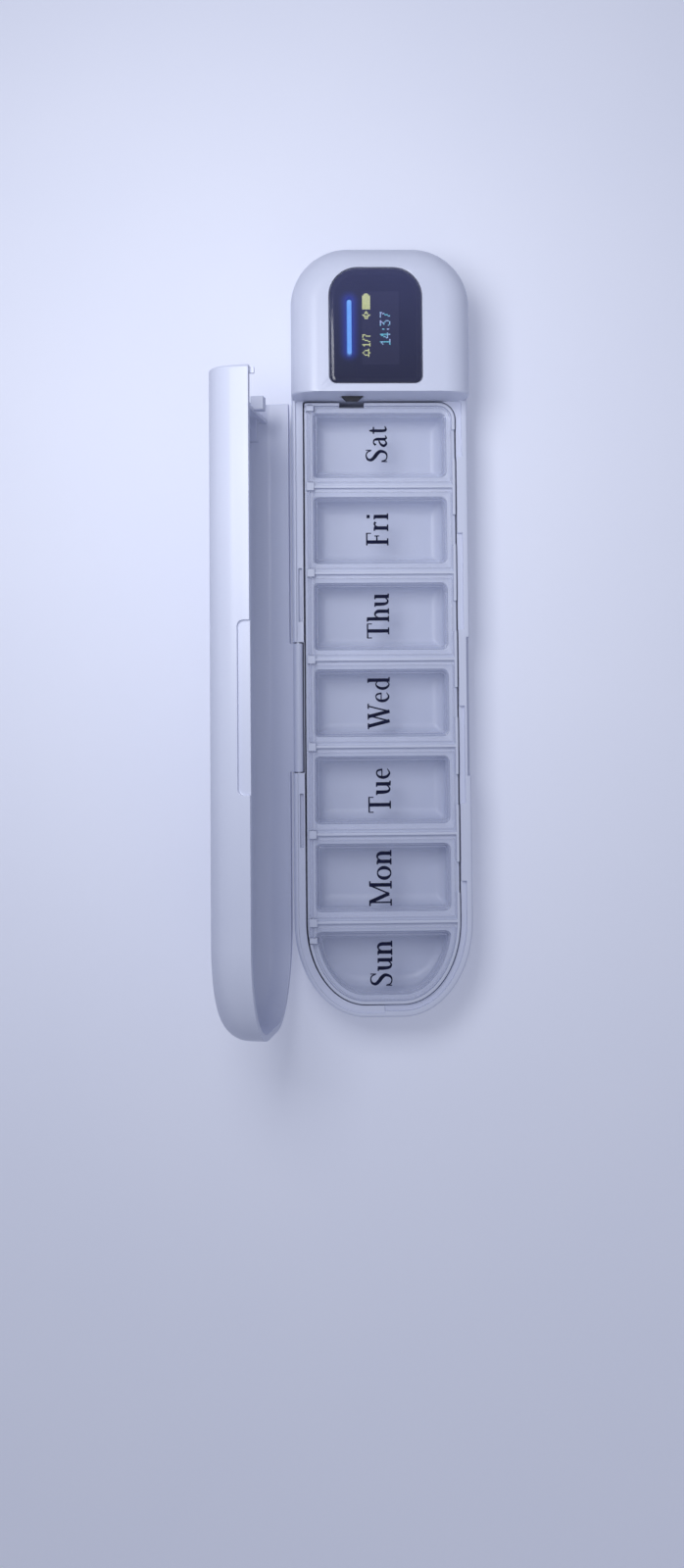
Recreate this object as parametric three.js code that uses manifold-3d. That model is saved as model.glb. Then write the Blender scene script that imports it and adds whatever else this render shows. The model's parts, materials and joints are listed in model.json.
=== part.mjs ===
// A seven-day pill organizer with an alarm head, in millimetres.
// X runs from the round tail to the display head, Y towards the hinge side, Z up.
// The origin is in the middle of the flat bottom. The cover is shown swung open.
import * as THREE from 'three';
import { mergeVertices } from 'three/addons/utils/BufferGeometryUtils.js';
import Module from 'manifold-3d';

const wasm = await Module();
wasm.setup();

// The closed body
const bodyLength = 228;
const bodyWidth = 53;
const bodyHeight = 31;
const partingHeight = 18;
const headLength = 44;
const wall = 1.8;
const crownRound = 8;
const bottomRound = 5;
const rimRound = 0.8;
const headCorner = 17;
const tailCornerLength = 28;
const tailCornerWidth = 21;
const squareCorner = 0.8;

// Gaps between pieces, and the overrun of every cutting tool
const clearance = 0.3;
const overrun = 2;

// The opening in the base, its rim and its ledge
const rimWidth = 3.4;
const rimDepth = 4.5;
const backStrip = 1.2;
const frontStrip = 1.8;
const ledgeDepth = 0.8;
const rabbetDepth = 1.5;
const rimTabLength = 23;
const rimTabShift = 2.6;
const ledgeSlotLength = 16;
const ledgeSlotWidth = 1;
const ledgeSlotDepth = 1.6;
const ledgeSlotPlace = 33.7;
const trayRibHeight = 0.9;
const trayRibWidth = 1.2;
const trayRibCount = 4;

// The cover and its hinge
const coverGap = 0.4;
const hingeLength = 39;
const hingeInset = 1.5;
const hingeDrop = 2.2;
const barrelRadius = 1.4;
const pinRadius = 0.6;
const pinHalf = 6;
const notchDrop = 2.3;
const openAngle = 101.5;
const coverFingerLength = 46.5;
const coverFingerHeight = 3.4;
const coverFingerDepth = 1;
const baseFingerLength = 41.5;
const baseFingerDepth = 1.1;
const baseFingerHeight = 4.2;
const fingerCorner = 1.6;
const endRibPlace = 4.6;
const endRibWidth = 1.2;
const endRibClear = 6.5;
const gussetLength = 7.5;
const gussetWidth = 0.8;
const gussetDepth = 3.2;
const gussetSpacing = 1.9;
const beadPlace = 9.6;
const beadWidth = 0.9;
const beadDepth = 0.7;
const beadGap = 1.6;
const beadMiddleGap = 14;
const lockTabLength = 1.8;
const lockTabWidth = 0.8;
const lockTabDrop = 1.1;

// The lift-out tray and its seven compartments
const dayCount = 7;
const bayTailSpace = 2;
const dayGap = 3;
const trayGap = 0.4;
const trayEndGap = 0.6;
const trayCorner = 5;
const flangeDrop = 0.3;
const flangeWidth = 1;
const flangeThickness = 2.6;
const lipWidth = 0.9;
const recessDepth = 1.5;
const ridgeWidth = 0.8;
const trayFloor = 1.2;
const pocketEndWall = 1.4;
const pocketFrontWall = 1.6;
const pocketBackWall = 0.5;
const pocketCorner = 2;
const pocketRound = 3.5;
const pocketDraft = 0.6;
const nailNotchLength = 9;

// The clear day lids
const lidThickness = 1.4;
const lidGap = 0.5;
const lidHingeInset = 5.5;
const lidBarrelRadius = 1;
const lidPinRadius = 0.5;
const lidPinReach = 0.9;
const earWidth = 2.4;
const endEarWidth = 1.7;
const earDepth = 2.3;
const lidFrameGap = 0.4;
const lidFrameWidth = 0.7;
const lidFrameDrop = 1;
const tailBarrelLength = 2.6;

// The window, the display and the light bar behind it
const windowLength = 33.8;
const windowWidth = 26.9;
const windowFromJoint = 2.6;
const windowShift = 1.6;
const windowThickness = 1.2;
const windowGap = 0.3;
const windowHeadCorner = 8.3;
const windowJointCorner = 2;
const windowLedge = 1.5;
const displayFromJoint = 19.2;
const panelLength = 26.7;
const panelWidth = 19.3;
const panelThickness = 1.5;
const panelBack = 7.6;
const displayBoardLength = 27.4;
const displayBoardWidth = 27.7;
const displayBoardShift = 0.35;
const boardThickness = 1.2;
const frameWall = 1.4;
const frameLedge = 1;
const frameFloor = 1.1;
const frameEarReach = 5.6;
const frameEarRadius = 2.3;
const framePostRadius = 2.2;
const barLength = 16.4;
const barWidth = 1.4;
const barShift = 9.3;
const barHeight = 2.1;
const barRoundShare = 0.98;

// What the head holds
const batteryLength = 22;
const batteryWidth = 34;
const batteryHeight = 8;
const batteryFromWall = 8.2;
const batteryRound = 1.6;
const mainBoardEndGap = 1.1;
const mainBoardWidth = 24;
const mainBoardHeight = 11.8;
const boardPostPlace = 4;
const boardPostBack = 1.6;
const boardPostFront = 9.4;
const buzzerRadius = 6;
const buzzerHeight = 5;
const buzzerHole = 1;
const buzzerPlace = 16;
const buzzerShift = 5;
const flexWidth = 10;
const flexThickness = 0.4;
const flexBow = 2.6;

// The charging socket, the set button and the sound holes in the head end
const portShift = 6.5;
const socketWidth = 9;
const socketHeight = 3.2;
const socketLength = 7.2;
const socketShell = 0.4;
const socketRecess = 0.6;
const socketTongueWidth = 6.6;
const socketTongueHeight = 0.7;
const buttonRadius = 2.6;
const buttonProud = 0.5;
const buttonFlange = 3.3;
const buttonFlangeThickness = 0.8;
const buttonTravel = 0.5;
const switchSize = 5;
const switchNubRadius = 1.2;
const switchNubLength = 0.8;
const soundHoleRadius = 0.6;
const soundHoleSpacing = 1.7;
const soundHoleCount = 3;

// The sprung nose that feels the cover
const noseShift = 8.4;
const noseWidth = 6.2;
const noseTipWidth = 3.4;
const noseReach = 1.3;
const noseHeight = 2;
const noseLift = 3.9;
const noseTravel = 0.8;
const noseFlangeWidth = 1.2;
const noseFlangeLength = 1.2;
const noseStemLength = 2.6;
const noseStemWidth = 2.4;
const noseSwitchLength = 6;
const noseSwitchWidth = 7;

// Screws and the posts that take them
const caseScrewShank = 1.1;
const caseScrewHead = 2.2;
const caseScrewHeadHeight = 1.5;
const caseScrewRecess = 2.4;
const caseScrewBite = 6;
const casePostRadius = 2.8;
const caseBossHeight = 16;
const jointPostPlace = 6;
const jointPostShift = 20;
const endPostPlace = 6.2;
const endPostShift = 15.5;
const smallScrewShank = 0.8;
const smallScrewHead = 1.7;
const smallScrewHeadHeight = 1;
const smallScrewBite = 3;
const smallPostRadius = 2;
const socketDriveShare = 0.5;

// Facets
const arcSteps = 6;
const roundSteps = 4;
const crownSteps = 8;
const pocketSteps = 3;
const rodSides = 16;
const thinRodSides = 10;
const thinRadius = 1.3;

// Places that follow from the sizes
const tailEnd = -bodyLength / 2;
const headEnd = bodyLength / 2;
const jointX = headEnd - headLength;
const dayPitch = (jointX - tailEnd - bayTailSpace) / dayCount;
const coverHead = jointX - coverGap;
const coverMiddle = (tailEnd + coverHead) / 2;
const halfWidth = bodyWidth / 2;
const coverRim = partingHeight + clearance;
const plateUnderside = bodyHeight - wall;
const headInside = jointX + wall;
const axisY = halfWidth - hingeInset;
const axisZ = partingHeight - hingeDrop;
const rimUnderside = partingHeight - rimDepth;
const flangeInset = rimWidth + trayGap;
const recessInset = flangeInset + lipWidth;
const trayHead = jointX - trayEndGap;
const trayBottom = wall + trayRibHeight + clearance;
const flangeTop = partingHeight - flangeDrop;
const flangeUnderside = flangeTop - flangeThickness;
const recessFloor = flangeTop - recessDepth;
const lidUnderside = recessFloor + clearance;
const lidTop = lidUnderside + lidThickness;
const lidAxisY = halfWidth - lidHingeInset;
const lidAxisZ = lidUnderside + lidBarrelRadius;
const displayX = jointX + displayFromJoint;
const windowBottom = bodyHeight - windowThickness;
const panelTop = plateUnderside - clearance;
const panelBottom = panelTop - panelThickness;
const displayBoardTop = panelBottom - clearance;
const displayBoardBottom = displayBoardTop - boardThickness;
const displayFrameFloor = displayBoardBottom - clearance - frameFloor;
const mainBoardTop = mainBoardHeight + boardThickness;
const buttonBack = headEnd - wall - clearance - buttonTravel - buttonFlangeThickness;
const mainBoardTail = headInside + clearance;
const mainBoardHead = buttonBack - mainBoardEndGap;
const portZ = mainBoardTop + clearance + socketHeight / 2;
const noseBottom = partingHeight + noseLift;
const caseBore = caseScrewShank + clearance;
const smallBore = smallScrewShank + clearance;

// Turns a closed geometry into a solid that can be joined and cut.
function solid(geometry) {
  geometry.deleteAttribute('normal');
  geometry.deleteAttribute('uv');
  const merged = mergeVertices(geometry);
  return new wasm.Manifold(new wasm.Mesh({
    numProp: 3,
    vertProperties: new Float32Array(merged.attributes.position.array),
    triVerts: new Uint32Array(merged.index.array),
  }));
}

// Joins solids into one.
function join(...solids) {
  return solids.reduce((whole, next) => whole.add(next));
}

// Cuts every tool out of a solid.
function cut(whole, ...tools) {
  return tools.reduce((rest, tool) => rest.subtract(tool), whole);
}

// A block between two opposite corners.
function block(low, high) {
  const size = high.map((value, axis) => value - low[axis]);
  const middle = high.map((value, axis) => (value + low[axis]) / 2);
  return solid(new THREE.BoxGeometry(...size).translate(...middle));
}

// A round rod along X or Z, from one place to another on that axis.
function rodX(radius, from, to, y, z) {
  const sides = radius < thinRadius ? thinRodSides : rodSides;
  const geometry = new THREE.CylinderGeometry(radius, radius, to - from, sides);
  return solid(geometry.rotateZ(Math.PI / 2).translate((from + to) / 2, y, z));
}

function rodZ(radius, from, to, x, y) {
  const sides = radius < thinRadius ? thinRodSides : rodSides;
  const geometry = new THREE.CylinderGeometry(radius, radius, to - from, sides);
  return solid(geometry.rotateX(Math.PI / 2).translate(x, y, (from + to) / 2));
}

// Plan outline with four elliptic corners, anticlockwise seen from above.
function outline(low, high, tailCorner, headCornerSize, frontSize = headCornerSize) {
  const corners = [
    { x: high[0] - headCornerSize[0], y: high[1] - headCornerSize[1], size: headCornerSize },
    { x: low[0] + tailCorner[0], y: high[1] - tailCorner[1], size: tailCorner },
    { x: low[0] + tailCorner[0], y: low[1] + tailCorner[1], size: tailCorner },
    { x: high[0] - frontSize[0], y: low[1] + frontSize[1], size: frontSize },
  ];
  const points = [];
  corners.forEach((corner, quarter) => {
    for (let step = 0; step <= arcSteps; step += 1) {
      const angle = (quarter + step / arcSteps) * Math.PI / 2;
      const x = corner.x + corner.size[0] * Math.cos(angle);
      const y = corner.y + corner.size[1] * Math.sin(angle);
      points.push(new THREE.Vector2(x, y));
    }
  });
  return points;
}

// The body's outline drawn in by a margin. An end given as a place is square, but for
// the rounding that its front head corner may have.
function bodyOutline(margin, squareTail, squareHead, frontCorner = squareCorner) {
  const tail = squareTail ?? tailEnd + margin;
  const head = squareHead ?? headEnd - margin;
  const square = [squareCorner, squareCorner];
  const tailCorner = [tailCornerLength - margin, tailCornerWidth - margin];
  const headCornerSize = [headCorner - margin, headCorner - margin];
  return outline(
    [tail, margin - halfWidth],
    [head, halfWidth - margin],
    squareTail === undefined ? tailCorner : square,
    squareHead === undefined ? headCornerSize : square,
    squareHead === undefined ? headCornerSize : [frontCorner, frontCorner],
  );
}

// A solid through outlines of equal point count, stacked upwards and capped flat.
function loft(rings) {
  const count = rings[0].points.length;
  const positions = rings.flatMap((ring) => (
    ring.points.flatMap((point) => [point.x, point.y, ring.z])
  ));
  const faces = [];
  for (let level = 0; level + 1 < rings.length; level += 1) {
    for (let index = 0; index < count; index += 1) {
      const here = level * count + index;
      const next = level * count + (index + 1) % count;
      faces.push(here, next, next + count, here, next + count, here + count);
    }
  }
  const top = (rings.length - 1) * count;
  for (let index = 1; index + 1 < count; index += 1) {
    faces.push(0, index + 1, index);
    faces.push(top, top + index, top + index + 1);
  }
  const geometry = new THREE.BufferGeometry();
  geometry.setAttribute('position', new THREE.Float32BufferAttribute(positions, 3));
  geometry.setIndex(faces);
  return solid(geometry);
}

// Rings of a quarter round that draws an outline in towards a flat top or bottom.
function roundRings(shapeAt, margin, flat, radius, side, steps = roundSteps) {
  const rings = [];
  for (let step = 0; step <= steps; step += 1) {
    const angle = (step / steps) * Math.PI / 2;
    rings.push({
      points: shapeAt(margin + radius * (1 - Math.cos(angle))),
      z: flat - side * radius * (1 - Math.sin(angle)),
    });
  }
  return side > 0 ? rings : rings.reverse();
}

// A straight-sided solid of one outline between two heights.
function prism(points, bottom, top) {
  return loft([{ points, z: bottom }, { points, z: top }]);
}

// A named mesh of a solid, in its own material.
function piece(name, shape, finish) {
  const data = shape.getMesh();
  const geometry = new THREE.BufferGeometry();
  geometry.setAttribute('position', new THREE.BufferAttribute(new Float32Array(data.vertProperties), 3));
  geometry.setIndex(new THREE.BufferAttribute(new Uint32Array(data.triVerts), 1));
  geometry.computeVertexNormals();
  const mesh = new THREE.Mesh(geometry, new THREE.MeshStandardMaterial(finish));
  mesh.name = name;
  return mesh;
}

const whitePlastic = { color: 0xe9e9f2, roughness: 0.35, metalness: 0 };
const innerPlastic = { color: 0xe2e3ea, roughness: 0.45, metalness: 0 };
const clearPlastic = {
  color: 0xeef1f4, roughness: 0.08, metalness: 0, transparent: true, opacity: 0.35,
};
const blackGloss = { color: 0x08080c, roughness: 0.06, metalness: 0 };
const blackPlastic = { color: 0x131317, roughness: 0.5, metalness: 0 };
const boardGreen = { color: 0x1d5a3a, roughness: 0.5, metalness: 0 };
const steel = { color: 0xb9bcc2, roughness: 0.3, metalness: 1 };
const cellFoil = { color: 0xc9ccd2, roughness: 0.4, metalness: 0.6 };
const lightBlue = { color: 0x2a6bff, roughness: 0.3, metalness: 0 };
const displayGlass = { color: 0x111318, roughness: 0.1, metalness: 0 };
const flexAmber = { color: 0xb9742a, roughness: 0.4, metalness: 0 };

// Posts and screws

const casePosts = [
  [jointX + jointPostPlace, jointPostShift],
  [jointX + jointPostPlace, -jointPostShift],
  [headEnd - endPostPlace, endPostShift],
  [headEnd - endPostPlace, -endPostShift],
];
const boardPostX = headInside + boardPostPlace;
const boardPosts = [
  [boardPostX, boardPostBack],
  [boardPostX, -boardPostFront],
  [headInside + batteryFromWall + batteryLength + smallPostRadius + clearance, 0],
];
const framePosts = [1, -1].map((side) => (
  side * (displayBoardWidth / 2 + frameWall + frameEarReach - frameEarRadius) + displayBoardShift
));

const caseScrew = { shank: caseScrewShank, head: caseScrewHead, height: caseScrewHeadHeight };
const smallScrew = { shank: smallScrewShank, head: smallScrewHead, height: smallScrewHeadHeight };

// A pan-head screw with a round drive socket. Its shank points up with side 1, down with -1.
function screw(size, x, y, seat, reach, side) {
  const rod = (radius, from, to) => {
    const ends = [seat + side * from, seat + side * to];
    return rodZ(radius, Math.min(...ends), Math.max(...ends), x, y);
  };
  return cut(
    join(rod(size.head, -size.height, 0), rod(size.shank, -size.height / 2, reach)),
    rod(size.shank, -size.height - overrun, -size.height * socketDriveShare),
  );
}

// Base shell

// The rim's ledge is cut between two outlines, on one side of the middle plane.
function rimCut(strip, depth, side) {
  const bottom = partingHeight - depth;
  const top = partingHeight + overrun;
  const band = prism(bodyOutline(strip, undefined, jointX), bottom, top);
  const back = side > 0 ? halfWidth : 0;
  const front = side > 0 ? 0 : -halfWidth;
  return band.intersect(block([tailEnd, front, bottom - overrun], [jointX, back, top + overrun]));
}

// A scoop for a fingertip: a block with rounded lower corners, along X.
function fingerScoop(length, depth, height, top, face, side) {
  const low = top - height;
  const inner = face - side * depth;
  const outer = face + side * overrun;
  const near = Math.min(inner, outer);
  const far = Math.max(inner, outer);
  const start = coverMiddle - length / 2;
  const end = coverMiddle + length / 2;
  const shape = new THREE.Shape();
  shape.moveTo(start, top + overrun);
  shape.lineTo(start, low + fingerCorner);
  shape.absarc(start + fingerCorner, low + fingerCorner, fingerCorner, Math.PI, Math.PI * 1.5, false);
  shape.absarc(end - fingerCorner, low + fingerCorner, fingerCorner, Math.PI * 1.5, Math.PI * 2, false);
  shape.lineTo(end, top + overrun);
  const geometry = new THREE.ExtrudeGeometry(shape, {
    depth: far - near, bevelEnabled: false, curveSegments: roundSteps,
  });
  return solid(geometry.rotateX(Math.PI / 2).translate(0, far, 0));
}

function baseShell() {
  const outer = loft([
    ...roundRings((margin) => bodyOutline(margin), 0, 0, bottomRound, -1),
    ...roundRings((margin) => bodyOutline(margin), 0, partingHeight, rimRound, 1),
  ]);
  const bayAt = (margin) => bodyOutline(margin, undefined, jointX);
  const bay = loft([
    ...roundRings(bayAt, wall, wall, bottomRound - wall, -1),
    { points: bayAt(wall), z: rimUnderside },
  ]);
  const mouth = prism(
    bodyOutline(rimWidth, undefined, jointX, trayCorner + trayGap),
    rimUnderside - overrun,
    partingHeight + overrun,
  );
  const headAt = (margin) => bodyOutline(margin, headInside);
  const head = loft([
    ...roundRings(headAt, wall, wall, bottomRound - wall, -1),
    { points: headAt(wall), z: partingHeight + overrun },
  ]);
  let shell = cut(outer, bay, mouth, head, rimCut(backStrip, ledgeDepth, 1));

  // The front rabbet leaves three tabs standing, one at every other divider.
  let rabbet = rimCut(frontStrip, rabbetDepth, -1);
  for (let divider = 1; divider < dayCount; divider += 2) {
    const middle = jointX - divider * dayPitch - rimTabShift;
    rabbet = cut(rabbet, block(
      [middle - rimTabLength / 2, -halfWidth, 0],
      [middle + rimTabLength / 2, 0, bodyHeight],
    ));
  }
  shell = cut(shell, rabbet);

  // Two slots in the back ledge, the hinge notch and the bores of its pins.
  [-1, 1].forEach((side) => {
    const middle = coverMiddle + side * ledgeSlotPlace;
    const slotY = halfWidth - (backStrip + rimWidth) / 2;
    const slotFloor = partingHeight - ledgeDepth - ledgeSlotDepth;
    shell = cut(
      shell,
      block(
        [middle - ledgeSlotLength / 2, slotY - ledgeSlotWidth / 2, slotFloor],
        [middle + ledgeSlotLength / 2, slotY + ledgeSlotWidth / 2, bodyHeight],
      ),
      rodX(
        pinRadius + clearance,
        coverMiddle + side * (hingeLength / 2) - pinHalf - clearance,
        coverMiddle + side * (hingeLength / 2) + pinHalf + clearance,
        axisY,
        axisZ,
      ),
    );
  });
  shell = cut(shell, block(
    [coverMiddle - hingeLength / 2, axisY - barrelRadius - clearance, axisZ - notchDrop],
    [coverMiddle + hingeLength / 2, halfWidth + overrun, bodyHeight],
  ));
  shell = cut(shell, fingerScoop(
    baseFingerLength, baseFingerDepth, baseFingerHeight, partingHeight, -halfWidth, -1,
  ));

  // Ribs that carry the tray.
  const ribStep = (coverHead - tailEnd) / (trayRibCount + 1);
  for (let index = 1; index <= trayRibCount; index += 1) {
    const middle = tailEnd + index * ribStep;
    shell = join(shell, block(
      [middle - trayRibWidth / 2, -halfWidth + bottomRound + wall, wall / 2],
      [middle + trayRibWidth / 2, halfWidth - bottomRound - wall, wall + trayRibHeight],
    ));
  }

  // Bosses for the case screws and posts for the main board.
  casePosts.forEach(([x, y]) => {
    shell = join(shell, rodZ(casePostRadius, wall / 2, caseBossHeight, x, y));
  });
  boardPosts.forEach(([x, y]) => {
    shell = join(shell, rodZ(smallPostRadius, wall / 2, mainBoardHeight - clearance, x, y));
  });
  casePosts.forEach(([x, y]) => {
    shell = cut(
      shell,
      rodZ(caseBore, -overrun, caseBossHeight + overrun, x, y),
      rodZ(caseScrewHead + clearance, -overrun, caseScrewRecess, x, y),
    );
  });
  boardPosts.forEach(([x, y]) => {
    shell = cut(shell, rodZ(smallBore, mainBoardHeight - smallScrewBite - clearance, bodyHeight, x, y));
  });

  // Charging port, button bore and sound holes through the head end.
  shell = cut(
    shell,
    portTool(socketWidth + clearance + clearance, socketHeight + clearance + clearance),
    rodX(buttonRadius + clearance, headEnd - wall - overrun, headEnd + overrun, portShift, portZ),
  );
  for (let index = 0; index < soundHoleCount; index += 1) {
    const y = (index - (soundHoleCount - 1) / 2) * soundHoleSpacing;
    shell = cut(shell, rodX(soundHoleRadius, headEnd - wall - overrun, headEnd + overrun, y, portZ));
  }
  return shell;
}

// Head cover

// A flat-sided round slot along X, as wide and as high as given.
function stadium(width, height, from, to) {
  const radius = height / 2;
  const reach = width / 2 - radius;
  return join(
    block([from, -portShift - reach, portZ - radius], [to, -portShift + reach, portZ + radius]),
    rodX(radius, from, to, -portShift - reach, portZ),
    rodX(radius, from, to, -portShift + reach, portZ),
  );
}

function portTool(width, height) {
  return stadium(width, height, headEnd - wall - overrun, headEnd + overrun);
}

// The window's outline: square towards the bay and round towards the head end.
function windowOutline(margin) {
  const tail = jointX + windowFromJoint + margin;
  const head = jointX + windowFromJoint + windowLength - margin;
  const back = windowShift + windowWidth / 2 - margin;
  const front = windowShift - windowWidth / 2 + margin;
  const tailSize = Math.max(windowJointCorner - margin, squareCorner);
  const headSize = windowHeadCorner - margin;
  return outline([tail, front], [head, back], [tailSize, tailSize], [headSize, headSize]);
}

function headCover() {
  const headAt = (margin) => bodyOutline(margin, jointX);
  const outer = loft([
    { points: headAt(0), z: coverRim },
    ...roundRings(headAt, 0, bodyHeight, crownRound, 1, crownSteps),
  ]);
  const insideAt = (margin) => bodyOutline(margin, headInside);
  const inner = loft([
    { points: insideAt(wall), z: coverRim - overrun },
    ...roundRings(insideAt, wall, plateUnderside, crownRound - wall, 1),
  ]);
  let shell = cut(
    outer,
    inner,
    prism(windowOutline(-windowGap), windowBottom - clearance, bodyHeight + overrun),
    prism(windowOutline(windowLedge), plateUnderside - overrun, bodyHeight),
  );

  // Posts for the case screws reach down past the parting line to the bosses.
  const solidHead = loft([
    { points: headAt(wall / 2), z: coverRim - overrun },
    ...roundRings(headAt, wall / 2, bodyHeight - wall / 2, crownRound - wall / 2, 1),
  ]);
  casePosts.forEach(([x, y]) => {
    const post = rodZ(casePostRadius, caseBossHeight + clearance, bodyHeight, x, y);
    shell = join(shell, post.intersect(solidHead));
    const boreTop = caseBossHeight + caseScrewBite + clearance;
    shell = cut(shell, rodZ(caseBore, coverRim - overrun, boreTop, x, y));
  });
  framePosts.forEach((y) => {
    const bottom = displayBoardBottom + frameFloor + clearance;
    const post = rodZ(framePostRadius, bottom, bodyHeight, displayX, y);
    shell = join(shell, post.intersect(solidHead));
    shell = cut(shell, rodZ(smallBore, bottom - overrun, bottom + smallScrewBite, displayX, y));
  });

  // The slot that the sprung nose slides in.
  return cut(shell, block(
    [jointX - overrun, noseShift - noseWidth / 2 - clearance, noseBottom - clearance],
    [headInside + overrun, noseShift + noseWidth / 2 + clearance, noseBottom + noseHeight + clearance],
  ));
}

// Display pieces

function displayFrame() {
  const boardTail = displayX - displayBoardLength / 2;
  const boardHead = displayX + displayBoardLength / 2;
  const boardFront = displayBoardShift - displayBoardWidth / 2;
  const boardBack = displayBoardShift + displayBoardWidth / 2;
  const floor = displayFrameFloor;
  const around = clearance + frameWall;
  let frame = block(
    [boardTail - around, boardFront - around, floor],
    [boardHead + around, boardBack + around, displayBoardTop],
  );
  framePosts.forEach((y) => {
    const ear = join(
      rodZ(frameEarRadius, floor, displayBoardBottom + frameFloor, displayX, y),
      block(
        [displayX - frameEarRadius, Math.min(y, displayBoardShift), floor],
        [displayX + frameEarRadius, Math.max(y, displayBoardShift), displayBoardBottom + frameFloor],
      ),
    );
    frame = join(frame, ear);
  });
  frame = cut(
    frame,
    block(
      [boardTail - clearance, boardFront - clearance, displayBoardBottom - clearance],
      [boardHead + clearance, boardBack + clearance, bodyHeight],
    ),
    block(
      [boardTail + frameLedge, boardFront + frameLedge, floor - overrun],
      [boardHead - frameLedge, boardBack - frameLedge, bodyHeight],
    ),
  );
  framePosts.forEach((y) => {
    frame = cut(frame, rodZ(smallBore, floor - overrun, bodyHeight, displayX, y));
  });
  return frame;
}

function displayBoard() {
  return block(
    [displayX - displayBoardLength / 2, displayBoardShift - displayBoardWidth / 2, displayBoardBottom],
    [displayX + displayBoardLength / 2, displayBoardShift + displayBoardWidth / 2, displayBoardTop],
  );
}

function displayPanel() {
  return block(
    [displayX - panelLength / 2, panelBack - panelWidth, panelBottom],
    [displayX + panelLength / 2, panelBack, panelTop],
  );
}

// A strip with round ends that stands on the display board and glows up the window.
function lightBar() {
  const half = barWidth / 2;
  const strip = outline(
    [displayX - barLength / 2, barShift - half],
    [displayX + barLength / 2, barShift + half],
    [half * barRoundShare, half * barRoundShare],
    [half * barRoundShare, half * barRoundShare],
  );
  return prism(strip, panelBottom, panelBottom + barHeight);
}

// A flat ribbon from the main board up to the display board, bowed once.
function displayFlex() {
  const bottom = mainBoardTop + clearance;
  const top = displayFrameFloor + frameFloor;
  const place = displayX + displayBoardLength / 2 - frameLedge - flexBow - clearance - clearance;
  const path = new THREE.CatmullRomCurve3([
    new THREE.Vector3(place, 0, bottom),
    new THREE.Vector3(place - flexBow, 0, bottom + (top - bottom) / 3),
    new THREE.Vector3(place + flexBow / 2, 0, top - (top - bottom) / 3),
    new THREE.Vector3(place, 0, top),
  ]);
  const points = path.getPoints(arcSteps);
  const shape = new THREE.Shape();
  points.forEach((point, index) => {
    const next = [point.x + flexThickness / 2, point.z];
    if (index === 0) shape.moveTo(...next);
    else shape.lineTo(...next);
  });
  [...points].reverse().forEach((point) => shape.lineTo(point.x - flexThickness / 2, point.z));
  const geometry = new THREE.ExtrudeGeometry(shape, { depth: flexWidth, bevelEnabled: false });
  return solid(geometry.rotateX(Math.PI / 2).translate(0, flexWidth / 2, 0));
}

// Pieces on and under the main board

function mainBoard() {
  let board = block(
    [mainBoardTail, -mainBoardWidth / 2, mainBoardHeight],
    [mainBoardHead, mainBoardWidth / 2, mainBoardTop],
  );
  boardPosts.forEach(([x, y]) => {
    board = cut(board, rodZ(smallBore, mainBoardHeight - overrun, mainBoardTop + overrun, x, y));
  });
  return board;
}

function battery() {
  const low = [headInside + batteryFromWall, -batteryWidth / 2];
  const high = [low[0] + batteryLength, batteryWidth / 2];
  const round = [batteryRound, batteryRound];
  const cell = outline(low, high, round, round);
  return prism(cell, wall + clearance, wall + clearance + batteryHeight);
}

function buzzer() {
  const x = headInside + buzzerPlace;
  const bottom = mainBoardTop + clearance;
  return cut(
    rodZ(buzzerRadius, bottom, bottom + buzzerHeight, x, -buzzerShift),
    rodZ(buzzerHole, bottom + buzzerHeight / 2, bottom + buzzerHeight + overrun, x, -buzzerShift),
  );
}

const socketMouth = headEnd - socketRecess;
const socketBack = socketMouth - socketLength;

function usbSocket() {
  const shell = stadium(socketWidth, socketHeight, socketBack, socketMouth);
  const mouth = stadium(
    socketWidth - socketShell - socketShell,
    socketHeight - socketShell - socketShell,
    socketBack + wall,
    socketMouth + overrun,
  );
  const tongue = block(
    [socketBack + socketShell, -portShift - socketTongueWidth / 2, portZ - socketTongueHeight / 2],
    [socketMouth - socketRecess, -portShift + socketTongueWidth / 2, portZ + socketTongueHeight / 2],
  );
  return join(cut(shell, mouth), tongue);
}

const switchFace = buttonBack - clearance - switchNubLength - buttonTravel;

function setButton() {
  return join(
    rodX(buttonRadius, buttonBack, headEnd + buttonProud, portShift, portZ),
    rodX(buttonFlange, buttonBack, buttonBack + buttonFlangeThickness, portShift, portZ),
  );
}

function buttonSwitch() {
  const bottom = mainBoardTop + clearance;
  return join(
    block(
      [switchFace - switchSize / 2, portShift - switchSize / 2, bottom],
      [switchFace, portShift + switchSize / 2, portZ + switchSize / 2],
    ),
    rodX(switchNubRadius, switchFace - clearance, switchFace + switchNubLength, portShift, portZ),
  );
}

// The nose: a wedge outside the wall, a flange behind it and a stem to its switch.
const noseTip = jointX - noseReach;
const noseFlangeStart = headInside + clearance;
const noseFlangeEnd = noseFlangeStart + noseFlangeLength;
const noseStemEnd = noseFlangeEnd + noseStemLength;
const noseTop = noseBottom + noseHeight;

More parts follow.
